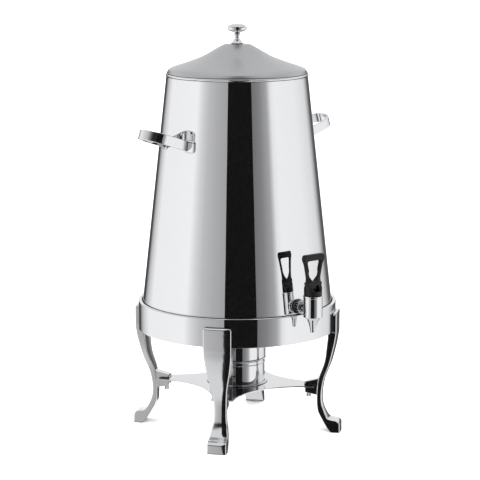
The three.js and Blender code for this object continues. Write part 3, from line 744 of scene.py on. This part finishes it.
cap_profile = softened([
    [spigot - SHEET, spigot_z], [spigot, spigot_z], [spigot, cover_z], [cover_r, cover_z],
    [cover_r, cover_top], [can_r / 2, cover_top], [can_r / 2, cover_top - SHEET],
    [cover_r - SHEET, cover_top - SHEET],
    [cover_r - SHEET, cover_z + SHEET], [spigot - SHEET, cover_z + SHEET],
], np.array([0.4, 0.4, 0.3, 0.5, 2.6, 0.5, 0.5, 2, 0.5, 0.5]) * MM, closed=True)
piece("burner_cap", [turned(cap_profile, segments=128, loop=True)], "cover", ["burner_cover"],
      "polished_steel")

# %% [markdown]
# ## The urn's wall
# The wall is a tall cone of polished sheet. At the top it is rolled outwards to a bead, which stiffens the
# mouth and gives the lid something to rest on. We turn 256 segments, because a mirror shows every facet.

# %% Urn wall
bead_turn = np.linspace(-0.5, 1.15, 14) * math.pi
bead = np.stack([rim_r - 0.8 * MM + BEAD * np.cos(bead_turn), rim_z + BEAD + BEAD * np.sin(bead_turn)], -1)
wall_profile = np.vstack([
    softened([[wall_r(wall_z + 20 * MM) - SHEET, wall_z + 20 * MM], [wall_low_r - SHEET, wall_z],
              [wall_low_r, wall_z], [wall_r(wall_z + 20 * MM), wall_z + 20 * MM]], 0.4 * MM),
    np.stack([wall_r(np.linspace(wall_z + 40 * MM, rim_z - 0.4 * MM, 12)),
              np.linspace(wall_z + 40 * MM, rim_z - 0.4 * MM, 12)], -1),
    np.minimum(bead, [half_x("urn_body"), rim_top]),
    [[rim_r - SHEET - 0.5 * MM, rim_top - 1.2 * MM], [rim_r - SHEET - 0.3 * MM, rim_z]],
])
piece("tapered_wall", [turned(wall_profile, segments=256, loop=True)], "urn", ["urn_body"], "polished_steel")

# %% [markdown]
# ## The lid
# The lid is spun in an ogee: a round shoulder at the rim, a slope that grows steeper towards the middle,
# and a flat seat for the knob. The curve passes through a few listed points, and the underside is the
# same curve one sheet lower.

# %% Lid
lid_z, lid_top = low("lid_shell"), high("lid_shell")
lid_r = half_x("lid_shell") - 0.2 * MM
ogee = flowing([
    [lid_r - 0.4 * MM, lid_z + 2 * MM], [lid_r * 0.975, lid_z + 5.8 * MM], [lid_r * 0.93, lid_z + 8.6 * MM],
    [lid_r * 0.86, lid_z + 11.4 * MM], [lid_r * 0.71, lid_z + 17 * MM], [lid_r * 0.49, lid_z + 26.6 * MM],
    [lid_r * 0.29, lid_top - 6.4 * MM], [lid_r * 0.19, lid_top - 0.4 * MM],
], 60)
hole_r = 2.3 * MM
under = ogee - [0.4 * MM, SHEET]
under[0, 0] = lid_r - SHEET
lid_profile = np.vstack([
    [[lid_r - SHEET, lid_z], [lid_r - 0.1 * MM, lid_z], [lid_r + 0.2 * MM, lid_z + 0.4 * MM],
     [lid_r + 0.2 * MM, lid_z + 1 * MM]], ogee,
    softened([[lid_r * 0.19, lid_top - 0.4 * MM], [lid_r * 0.17, lid_top], [hole_r, lid_top]], 1.2 * MM)[1:],
    [[hole_r, lid_top - SHEET]], under[::-1]])
piece("spun_lid", [turned(lid_profile, segments=224, loop=True)], "lid", ["lid_shell"], "satin_steel")

# %% [markdown]
# The knob was turned from bar: a flared foot, a thin neck with a small bead, and a mushroom cap. One smooth
# curve through its widest and narrowest points is enough, because a lathe tool also moves in one smooth
# sweep.

# %% Knob
knob_z, knob_top, knob_r = low("lid_knob"), high("lid_knob"), half_x("lid_knob")
foot = flowing([[9.3 * MM, knob_z + 1.2 * MM], [7.4 * MM, knob_z + 4 * MM], [4.8 * MM, knob_z + 7.6 * MM],
                [3.7 * MM, knob_z + 10.4 * MM], [3.8 * MM, knob_z + 12.6 * MM]], 28)
neck_bead = flowing([[4.6 * MM, knob_z + 13.4 * MM], [5.3 * MM, knob_z + 15 * MM],
                     [4.6 * MM, knob_z + 16.6 * MM], [4.3 * MM, knob_z + 17.2 * MM]], 14)
cap = flowing([[5.2 * MM, knob_top - 13.6 * MM], [9 * MM, knob_top - 13 * MM],
               [knob_r - 1.1 * MM, knob_top - 10.2 * MM], [knob_r, knob_top - 6.6 * MM],
               [knob_r - 1.7 * MM, knob_top - 2.9 * MM], [8.4 * MM, knob_top - 0.6 * MM],
               [0.1 * MM, knob_top]], 56)
cap[:, 0] = np.clip(cap[:, 0], 0, knob_r)
knob_profile = np.vstack([[[0, knob_z], [8.8 * MM, knob_z]], foot, neck_bead, cap, [[0, knob_top]]])
piece("turned_knob", [turned(knob_profile, segments=96)], "lid", ["lid_knob"], "polished_steel")

# %% [markdown]
# ## Carrying handles
# A flat band is bent to a loop, and each end is turned flat against the wall. The loop lies in a plane that
# tips up as it leaves the wall. `bar` works in a plane, so the band is made flat first, and then tipped and
# moved out.

# %% Handle loop
handle_half, handle_t, handle_band = 30 * MM, 3 * MM, 16 * MM
handle_z = rim_z - 101 * MM
handle_tilt = math.radians(18)
root_x = math.sqrt(wall_r(handle_z) ** 2 - handle_half**2)
reach = 65 * MM / math.cos(handle_tilt)


def bezier(a, b, c, d, count):
    """Cubic curve from a to d that leaves towards b and arrives from c."""
    t = np.linspace(0, 1, count)[:, None]
    a, b, c, d = (np.array(p, float) for p in (a, b, c, d))
    return (1 - t) ** 3 * a + 3 * t * (1 - t) ** 2 * b + 3 * t**2 * (1 - t) * c + t**3 * d


def loop_line(half, far):
    """Out along one arm, round the nose in two cubics, and back along the other arm, as (out, sideways)."""
    arm = np.linspace([1.5 * MM, -half], [far - half * 0.95, -half], 24)[:-1]
    nose = bezier(arm[-1] + [0.001, 0], [far - half * 0.35, -half * 0.98], [far, -half * 0.55], [far, 0], 40)
    one = np.vstack([arm, nose])
    return np.vstack([one, (one * [1, -1])[::-1][1:]])


outer_loop, inner_loop = loop_line(handle_half, reach), loop_line(handle_half - handle_t, reach - handle_t)
band = bar(inner_loop, outer_loop, handle_band / 2, 0.9 * MM)
tip_c, tip_s = math.cos(handle_tilt), math.sin(handle_tilt)
out, sideways, up = band[..., 0], band[..., 2], band[..., 1]
loop_grid = np.stack([root_x + out * tip_c - up * tip_s, sideways, handle_z + out * tip_s + up * tip_c], -1)
print("handle sections", len(loop_grid), "at height", round(handle_z, 4))

# %% [markdown]
# The end of the band is a soft-cornered pad that hugs the cone. It is a pillow: a square-ish outline
# shrinks towards its middle while its height follows a flat dome, and each point is then laid on the wall
# at its own height.

# %% Handle pads
def wall_pad(degrees, z, half_w, half_h, thick, squareness=5.0):
    """Superellipse outline laid on the wall's cone; height falls off only close to the outline."""
    share = np.concatenate([np.linspace(0, 0.8, 6), 0.8 + 0.2 * np.sin(np.linspace(0.2, math.pi / 2, 10))])
    height = thick * (1 - share**8) ** 0.5
    share, height = np.concatenate([share, [1, 0]]), np.concatenate([height, [-0.1 * MM, -0.1 * MM]])
    turn = np.linspace(0, 2 * math.pi, 96, endpoint=False)
    edge_r = (np.abs(np.cos(turn)) ** squareness + np.abs(np.sin(turn)) ** squareness) ** (-1 / squareness)
    u = half_w * share[:, None] * edge_r * np.cos(turn)
    v = half_h * share[:, None] * edge_r * np.sin(turn)
    radius = wall_r(z + v) + height[:, None] + GAP
    turn_out = math.radians(degrees) + u / wall_r(z)
    return shell(np.stack([radius * np.cos(turn_out), radius * np.sin(turn_out), z + v], -1))


PAD_HALF_W, PAD_HALF_H, PAD_THICK = 10.6 * MM, 9.4 * MM, 2.1 * MM
pad_turn = math.degrees(math.atan2(handle_half + 2 * MM, root_x))
for side, half_turn in {"right": 0, "left": 180}.items():
    islands = [shell(spun(loop_grid, half_turn), cap=True)]
    for sign in (1, -1):
        islands.append(wall_pad(half_turn + sign * pad_turn, handle_z, PAD_HALF_W, PAD_HALF_H, PAD_THICK))
    piece(f"bent_handle_{side}", islands, "urn", [f"handle_{side}"], "polished_steel", sharp=50)

# %% [markdown]
# ## The faucet
# The barrel hangs in front of the wall on a short shank. It is turned: a straight cylinder with a small lip
# at the top, a shoulder, and a nozzle that narrows in one hollow curve. The shank is a second turned
# island, laid along Y.

# %% Faucet barrel
barrel_r = half_x("faucet_body")
nozzle_z, barrel_top = low("faucet_body"), high("faucet_body")
barrel_z = nozzle_z + 25.1 * MM
shank_r = 8 * MM
wall_y = -wall_r(shank_z)
nozzle = flowing([[3.9 * MM, nozzle_z + 0.6 * MM], [4.4 * MM, nozzle_z + 5 * MM],
                  [6.4 * MM, nozzle_z + 13 * MM], [9.4 * MM, nozzle_z + 19.4 * MM],
                  [11.6 * MM, barrel_z - 2.2 * MM]], 30)
barrel_profile = np.vstack([
    [[0, nozzle_z + 6 * MM], [2.6 * MM, nozzle_z + 6 * MM], [2.7 * MM, nozzle_z], [3.6 * MM, nozzle_z]],
    nozzle,
    softened([[12 * MM, barrel_z - 1.6 * MM], [barrel_r - 0.5 * MM, barrel_z - 0.6 * MM],
              [barrel_r - 0.5 * MM, barrel_top - 3.4 * MM], [barrel_r, barrel_top - 3 * MM],
              [barrel_r, barrel_top], [0, barrel_top]], 0.5 * MM)])


def laid_along_y(island, y0, z0):
    """Swaps axes, so that what was turned about Z now lies along Y at height z0."""
    points, faces = island
    turned_points = np.stack([points[:, 0], y0 + points[:, 2], z0 - points[:, 1]], -1)
    return turned_points, faces


shank_end = wall_y + SHEET + 17 * MM - faucet_y
shank = laid_along_y(turned(softened([
    [0, 0], [shank_r, 0], [shank_r, shank_end], [0, shank_end],
], 0.6 * MM), segments=72), faucet_y, shank_z)
neck_r, neck_end = 9.6 * MM, barrel_r + 3 * MM
neck = laid_along_y(turned(softened([
    [0, 0], [neck_r, 0], [neck_r, barrel_r + 1.6 * MM], [8.4 * MM, neck_end], [0, neck_end],
], 0.5 * MM), segments=72), faucet_y, shank_z)
piece("faucet_barrel", [turned(barrel_profile, (0, faucet_y), 112), shank, neck], "urn", ["faucet_body"],
      "polished_steel")

# %% [markdown]
# The collar is a ribbed nut that pulls the shank tight. Its ribs are waves on the radius, squared off by a
# small power, so that they have flat tops and narrow grooves as cut ribs do. A soft washer sits behind it.

# %% Ribbed collar
collar_y, collar_r = low("faucet_collar", 1), half_x("faucet_collar")


def ribs(angle):
    """Eighteen waves whose tops are flattened by a small power of the cosine."""
    wave_round = np.cos(18 * angle)
    return 0.45 * MM * np.sign(wave_round) * np.abs(wave_round) ** 0.4


bore = shank_r + 0.1 * MM
collar_profile = softened([
    [bore, 0, 0], [collar_r - 1.6 * MM, 0, 0], [collar_r - 0.45 * MM, 1 * MM, 1],
    [collar_r - 0.45 * MM, 6 * MM, 1], [collar_r - 1.6 * MM, 7 * MM, 0], [bore, 7 * MM, 0],
], 0.25 * MM, closed=True)
collar = laid_along_y(turned(collar_profile, segments=216, loop=True, swell=ribs), collar_y, shank_z)
piece("ribbed_collar", [collar], "urn", ["faucet_collar"], "polished_steel", sharp=60)

# %% [markdown]
# ## Bonnet and lever
# The bonnet is a black moulded cap. From above it is round, and from the side its top is a half cylinder
# about the lever's pin, so the lever can roll over it. A slot from the front lets the lever's tang swing.
# We slice it across: each slice has a flat bottom and a top line, and the slices in the slot have a lower
# top line.

# %% Bonnet
bonnet_r, bonnet_z = half_x("faucet_bonnet"), barrel_top + GAP
roll_r = high("faucet_bonnet") - pin_z
SLOT_HALF, SLOT_BACK = 5.9 * MM, 4.3 * MM
BOTTOM_POINTS = 9


def bonnet_top(x, y, slotted):
    """The roll's circle over y, less a round at the rim; in the slot, a sloping floor below the pin."""
    rim = np.clip((np.hypot(x, y) / bonnet_r - 0.88) / 0.12, 0, 1)
    roof = pin_z + np.sqrt(np.maximum(roll_r**2 - y**2, 0)) - 1.2 * MM * rim**2
    floor = pin_z - 4.4 * MM + np.maximum(-6.5 * MM - y, 0) * 0.4
    return np.where(slotted & (y < SLOT_BACK - 1e-6), floor, roof)


slice_turn = np.sin(np.linspace(-math.pi / 2, math.pi / 2, 44))
slice_x = bonnet_r * 0.998 * slice_turn
slice_x = np.sort(np.concatenate([slice_x, [-SLOT_HALF, -SLOT_HALF, SLOT_HALF, SLOT_HALF]]))
in_slot = np.abs(slice_x) < SLOT_HALF - 1e-7
slot_edges = np.flatnonzero(np.abs(np.abs(slice_x) - SLOT_HALF) < 1e-7)
in_slot[slot_edges[1:3]] = True
reach_y = np.sqrt(bonnet_r**2 - slice_x**2)[:, None]
foot_y = np.sqrt(np.maximum((bonnet_r - 1 * MM) ** 2 - slice_x**2, 0))[:, None]
back_y = np.minimum(SLOT_BACK, 0.3 * reach_y)
rows_y = np.concatenate([
    foot_y * np.linspace(-1, 1, BOTTOM_POINTS), reach_y, reach_y,
    back_y + (reach_y - back_y) * np.cos(np.linspace(0, math.pi / 2, 12)),
    back_y - 2e-6 + (-reach_y - back_y) * np.sin(np.linspace(0, math.pi / 2, 30)), -reach_y, -reach_y], 1)
tops = bonnet_top(slice_x[:, None], rows_y, in_slot[:, None])
rows_z = np.where(np.arange(rows_y.shape[1]) < BOTTOM_POINTS, bonnet_z, tops)
rows_z[:, [BOTTOM_POINTS, -1]] = bonnet_z + 1.2 * MM
below_rim, at_rim = [BOTTOM_POINTS + 1, -2], [BOTTOM_POINTS + 2, -3]
rows_z[:, below_rim] = np.minimum(tops[:, at_rim], rows_z[:, below_rim]) - 0.2 * MM
bonnet_grid = np.stack([np.repeat(slice_x[:, None], rows_y.shape[1], 1), faucet_y + rows_y, rows_z], -1)
piece("black_bonnet", [shell(bonnet_grid, cap=True)], "urn", ["faucet_bonnet"], "black_plastic", sharp=45)

# %% [markdown]
# The lever's finger loop is a closed bar: an inner outline, which is the eye, and an outer one. Both have
# the same number of points, so a rounded section can be carried between them all the way round.

# %% Lever
lever_top = high("faucet_lever")
waist_z = pin_z + roll_r
grip_z = lever_top - 10 * MM
loop_half = 19.2 * MM
WAIST_HALF = 13.2 * MM
BASE_POINTS, TOP_POINTS = 10, 14
base_z = waist_z + 0.8 * MM
outer_right = np.vstack([
    np.linspace([0, base_z], [WAIST_HALF, base_z], BASE_POINTS)[:-1],
    flowing([[WAIST_HALF, base_z], [WAIST_HALF + 0.1 * MM, waist_z + 6 * MM], [15.4 * MM, waist_z + 19 * MM],
             [loop_half - 0.5 * MM, grip_z - 1 * MM], [loop_half + 0.8 * MM, grip_z + 3 * MM],
             [loop_half + 0.8 * MM, grip_z + 6.6 * MM], [loop_half - 0.6 * MM, lever_top - 0.8 * MM],
             [loop_half - 3 * MM, lever_top]], 54)[:-1],
    np.linspace([loop_half - 3 * MM, lever_top], [0, lever_top], TOP_POINTS),
])
EYE_HALF = 13.5 * MM
eye_line = np.vstack([
    bezier([0, waist_z + 3.6 * MM], [7.5 * MM, waist_z + 4.6 * MM], [10.5 * MM, waist_z + 16 * MM],
           [EYE_HALF, grip_z - 4 * MM], 200),
    bezier([EYE_HALF, grip_z - 4 * MM], [EYE_HALF + 0.1 * MM, grip_z - 1 * MM], [12.4 * MM, grip_z],
           [9.5 * MM, grip_z], 60)[1:],
    [[0, grip_z]],
])
gone = np.concatenate([[0], np.cumsum(np.linalg.norm(np.diff(eye_line, axis=0), axis=1))])
side_start, side_end = (BASE_POINTS - 1) / len(outer_right), 1 - TOP_POINTS / len(outer_right)
along = np.interp(np.linspace(0, 1, len(outer_right)), [0, side_start, side_end, 1],
                  [0, 0.13, 0.76, 1]) * gone[-1]
inner_right = np.stack([np.interp(along, gone, eye_line[:, k]) for k in (0, 1)], -1)
print("lever outline points", len(outer_right), len(inner_right))


def whole(right):
    """The right half and its mirror image, as one closed outline."""
    return np.vstack([right, (right * [-1, 1])[::-1][1:-1]])


lever_eye, lever_edge = whole(inner_right), whole(outer_right)
thick = np.interp(
    lever_edge[:, 1],
    [waist_z, waist_z + 2 * MM, waist_z + 9 * MM, grip_z - 5 * MM, grip_z + 2 * MM, lever_top],
    np.array([5.2, 4.2, 2.3, 2.3, 4, 3.6]) * MM)
loop = bar(lever_eye, lever_edge, thick, 1.3 * MM) + [0, faucet_y, 0]

# %% [markdown]
# Below the loop a block rides round the bonnet's roll, and a tang reaches down to the pin. The block is a
# saddle: a section whose underside follows the roll at a small clearance. It is a short bar, carried along
# the lever's width.

# %% Lever saddle and tang
def across(xs, section):
    """One (y, z) section repeated at each x, with y counted from the faucet's axis."""
    x = np.repeat(xs[:, None], len(section), 1)
    y = faucet_y + np.repeat(section[None, :, 0], len(xs), 0)
    z = np.repeat(section[None, :, 1], len(xs), 0)
    return np.stack([x, y, z], -1)


saddle_half = 5.4 * MM
saddle_x = WAIST_HALF * np.sin(np.linspace(-math.pi / 2, math.pi / 2, 40))
saddle_y = np.linspace(-1, 1, 24)
under_y = saddle_half * saddle_y
under_z = pin_z + np.sqrt((roll_r + GAP) ** 2 - under_y**2)
over_z = waist_z + 3.4 * MM - 0.8 * MM * np.abs(saddle_y) ** 6
section = np.concatenate([np.stack([under_y, under_z], -1), np.stack([under_y, over_z], -1)[::-1]])
saddle = across(saddle_x, section)
tang_r = 4 * MM
tang_turn = np.linspace(math.pi, 2 * math.pi, 24)
tang_section = np.concatenate([np.stack([tang_r * np.cos(tang_turn), pin_z + tang_r * np.sin(tang_turn)], -1),
                               [[tang_r, waist_z + 2 * MM], [-tang_r, waist_z + 2 * MM]]])
tang_x = 5.6 * MM * np.linspace(-1, 1, 6)
tang = across(tang_x, tang_section)
piece("loop_lever", [shell(loop, wrap_rows=True), shell(saddle, cap=True), shell(tang, cap=True)], "lever",
      ["faucet_lever"], "black_plastic", sharp=45)

# %% [markdown]
# ## Stage, light and camera
# Polished metal is only as good as what it mirrors. A studio sets white walls with dark gaps between them
# round the object: the white gives the clean fields, and the gaps give the black stripes that say chrome.
# We paint that room as a sky. Brightness is a ramp over the compass direction near the horizon, another
# such ramp higher up, and an even white ceiling above both.

# %% Directions of the room
CAMERA_TURN = -39.0
ROOM = [  # degrees round from the camera, brightness on screen from 0 to 1
    (-180, 0.96), (-170, 0.94), (-164, 0.24), (-152, 0.28), (-145, 0.65), (-136, 0.80), (-124, 0.92),
    (-64, 0.935), (-54, 0.82), (-44, 0.73), (-30, 0.67), (-13, 0.62), (15, 0.36), (22, 0.43), (34, 0.50),
    (46, 0.63), (50, 0.77), (53, 0.88), (60, 0.92), (100, 0.91), (130, 0.84), (138, 0.70), (148, 0.37),
    (162, 0.27), (168, 0.92), (180, 0.96),
]
ABOVE = [  # the same, for directions well above the horizon
    (-180, 0.86), (-110, 0.86), (-72, 0.72), (-46, 0.36), (-32, 0.16), (42, 0.14), (62, 0.34), (86, 0.60),
    (110, 0.86), (180, 0.86),
]


STEEL_SHARE = 0.86  # what polished steel gives back of the light that it mirrors


def light_value(screen):
    """From brightness on screen to light: the inverse of the display's curve."""
    return ((screen + 0.055) / 1.055) ** 2.4


def ramp(tree, stops, degrees_share):
    """A colour ramp of greys over the compass; degrees_share runs from 0 to 1 over -180 to 180 degrees."""
    made = tree.nodes.new("ShaderNodeValToRGB")
    tree.links.new(degrees_share, made.inputs["Fac"])
    elements = made.color_ramp.elements
    for k, (where, screen) in enumerate(stops):
        at = (where + 180) / 360
        element = elements[k] if k < 2 else elements.new(at)
        element.position = at
        grey = light_value(screen) / STEEL_SHARE
        element.color = (grey, grey, grey * 1.01, 1)
    return made.outputs["Color"]


print("room stops", len(ROOM), "and higher up", len(ABOVE))

# %% [markdown]
# The world makes a sky of those two ramps. It turns each direction so that zero degrees faces the camera,
# reads both ramps at its compass angle, and blends from one to the other and on to the ceiling by the
# direction's height.

# %% World
world = bpy.data.worlds.new("studio_room")
bpy.context.scene.world = world
world.use_nodes = True
room = world.node_tree
room.nodes.clear()
direction = room.nodes.new("ShaderNodeTexCoord").outputs["Generated"]
turned_room = node(room, "ShaderNodeVectorRotate", {"rotation_type": "Z_AXIS"}, Vector=direction,
                   Angle=math.radians(-CAMERA_TURN)).outputs[0]
facing = node(room, "ShaderNodeSeparateXYZ", Vector=turned_room)
backwards = math_node(room, "MULTIPLY", facing.outputs["Y"], -1.0)
compass = math_node(room, "ARCTAN2", facing.outputs["X"], backwards)
compass_share = math_node(room, "MULTIPLY_ADD", compass, 0.5 / math.pi, 0.5)
around = ramp(room, ROOM, compass_share)
higher = ramp(room, ABOVE, compass_share)


def fade(start, end):
    """Goes smoothly from 0 to 1 while the direction's height (its sine) goes from start to end."""
    made = node(room, "ShaderNodeMapRange", {"interpolation_type": "SMOOTHSTEP"}, Value=facing.outputs["Z"])
    made.inputs["From Min"].default_value, made.inputs["From Max"].default_value = start, end
    return made.outputs[0]


def blend(share, first, second):
    """The first colour where the share is 0 and the second where it is 1."""
    return node(room, "ShaderNodeMix", {"data_type": "RGBA"}, i0=share, i6=first, i7=second).outputs[2]


with_higher = blend(fade(0.12, 0.27), around, higher)
PALE = (0.72, 0.72, 0.73, 1)
with_ceiling = blend(fade(0.42, 0.56), with_higher, PALE)
mirrored = blend(fade(-0.42, -0.75), with_ceiling, PALE)
print("world", world.name, "with", len(room.nodes), "nodes")

# %% [markdown]
# Mirrors see that room. Matt surfaces would average it to a dull grey, so they get an even light of their
# own, and the camera looks past the floor's edge into plain white. One large soft lamp overhead models the
# plastic.

# %% Light and floor
ray = room.nodes.new("ShaderNodeLightPath")
to_matt = blend(ray.outputs["Is Diffuse Ray"], mirrored, (2.6, 2.6, 2.6, 1))
to_camera = blend(ray.outputs["Is Camera Ray"], to_matt, (1, 1, 1, 1))
background = node(room, "ShaderNodeBackground", Color=to_camera, Strength=1.0)
world_out = room.nodes.new("ShaderNodeOutputWorld")
room.links.new(background.outputs[0], world_out.inputs["Surface"])


def stage_sheet(name, corners, color, roughness):
    """A flat sheet with a matt material; it belongs to the stage, not to the object."""
    mesh = bpy.data.meshes.new(name)
    mesh.from_pydata(corners, [], [(0, 1, 2, 3)])
    sheet = bpy.data.objects.new(name, mesh)
    bpy.context.scene.collection.objects.link(sheet)
    material = bpy.data.materials.new(name)
    material.use_nodes = True
    shader = material.node_tree.nodes["Principled BSDF"]
    shader.inputs["Base Color"].default_value = (*color, 1)
    shader.inputs["Roughness"].default_value = roughness
    shader.inputs["Specular IOR Level"].default_value = 0.0
    mesh.materials.append(material)
    return sheet


FLOOR = 30.0
floor_corners = [(-FLOOR, -FLOOR, 0), (FLOOR, -FLOOR, 0), (FLOOR, FLOOR, 0), (-FLOOR, FLOOR, 0)]
floor = stage_sheet("studio_floor", floor_corners, (0.9, 0.9, 0.9), 0.9)
floor.visible_glossy = False
print("floor", 2 * FLOOR, "m across")

# %% [markdown]
# The broad black stripe down the front of polished steel is a black screen that stands before the object,
# beside the camera's line of sight. It is near, so parts further to one side see its edge shifted, which a
# painted sky couldn't show. Only mirrors see it: it throws no shadow and the camera looks through it.

# %% Black screen and lamp
SCREEN_DISTANCE, SCREEN_LEFT, SCREEN_RIGHT = 0.65, -0.1518, 0.2434
SCREEN_LOW, SCREEN_HIGH = -2, 1.4
view_turn = math.radians(CAMERA_TURN)
toward_camera = np.array([math.sin(view_turn), -math.cos(view_turn), 0])
rightward = np.array([math.cos(view_turn), math.sin(view_turn), 0])
corners = [SCREEN_DISTANCE * toward_camera + side * rightward + [0, 0, z]
           for side, z in ((SCREEN_LEFT, SCREEN_LOW), (SCREEN_RIGHT, SCREEN_LOW),
                           (SCREEN_RIGHT, SCREEN_HIGH), (SCREEN_LEFT, SCREEN_HIGH))]
screen = stage_sheet("black_screen", corners, (0.004, 0.004, 0.0042), 1.0)
screen.visible_camera = screen.visible_diffuse = screen.visible_shadow = screen.visible_transmission = False

lamp_data = bpy.data.lights.new("overhead_softbox", "AREA")
lamp_data.shape, lamp_data.size, lamp_data.energy = "DISK", 2.4, 22
lamp = bpy.data.objects.new("overhead_softbox", lamp_data)
lamp.location = (-0.6, -0.9, 2.4)
lamp.rotation_euler = (math.radians(-22), math.radians(-14), 0)
lamp.visible_glossy = False
bpy.context.scene.collection.objects.link(lamp)
print("screen at", SCREEN_DISTANCE, "m, lamp of", lamp_data.energy, "W")

# %% [markdown]
# The camera is far away with a long lens, which keeps the sides nearly parallel, as in a catalogue. It
# stands a bit above the knob's height and looks down by ten degrees. The display transform is the plain
# one, so white stays white.

# %% Camera
CAMERA_DISTANCE, CAMERA_HEIGHT, LOOK_DOWN = 2.9867, 0.8473, 10.23
camera_data = bpy.data.cameras.new("catalogue_camera")
camera_data.lens = 141.35
camera_data.clip_end = 60
camera = bpy.data.objects.new("catalogue_camera", camera_data)
bpy.context.scene.collection.objects.link(camera)
camera.location = (*(CAMERA_DISTANCE * toward_camera[:2]), CAMERA_HEIGHT)
camera.rotation_euler = (math.radians(90 - LOOK_DOWN), 0, math.radians(CAMERA_TURN - 0.087))
bpy.context.scene.camera = camera
bpy.context.scene.view_settings.view_transform = "Standard"
print("camera at", [round(x, 3) for x in camera.location], "with a lens of", camera_data.lens, "mm")
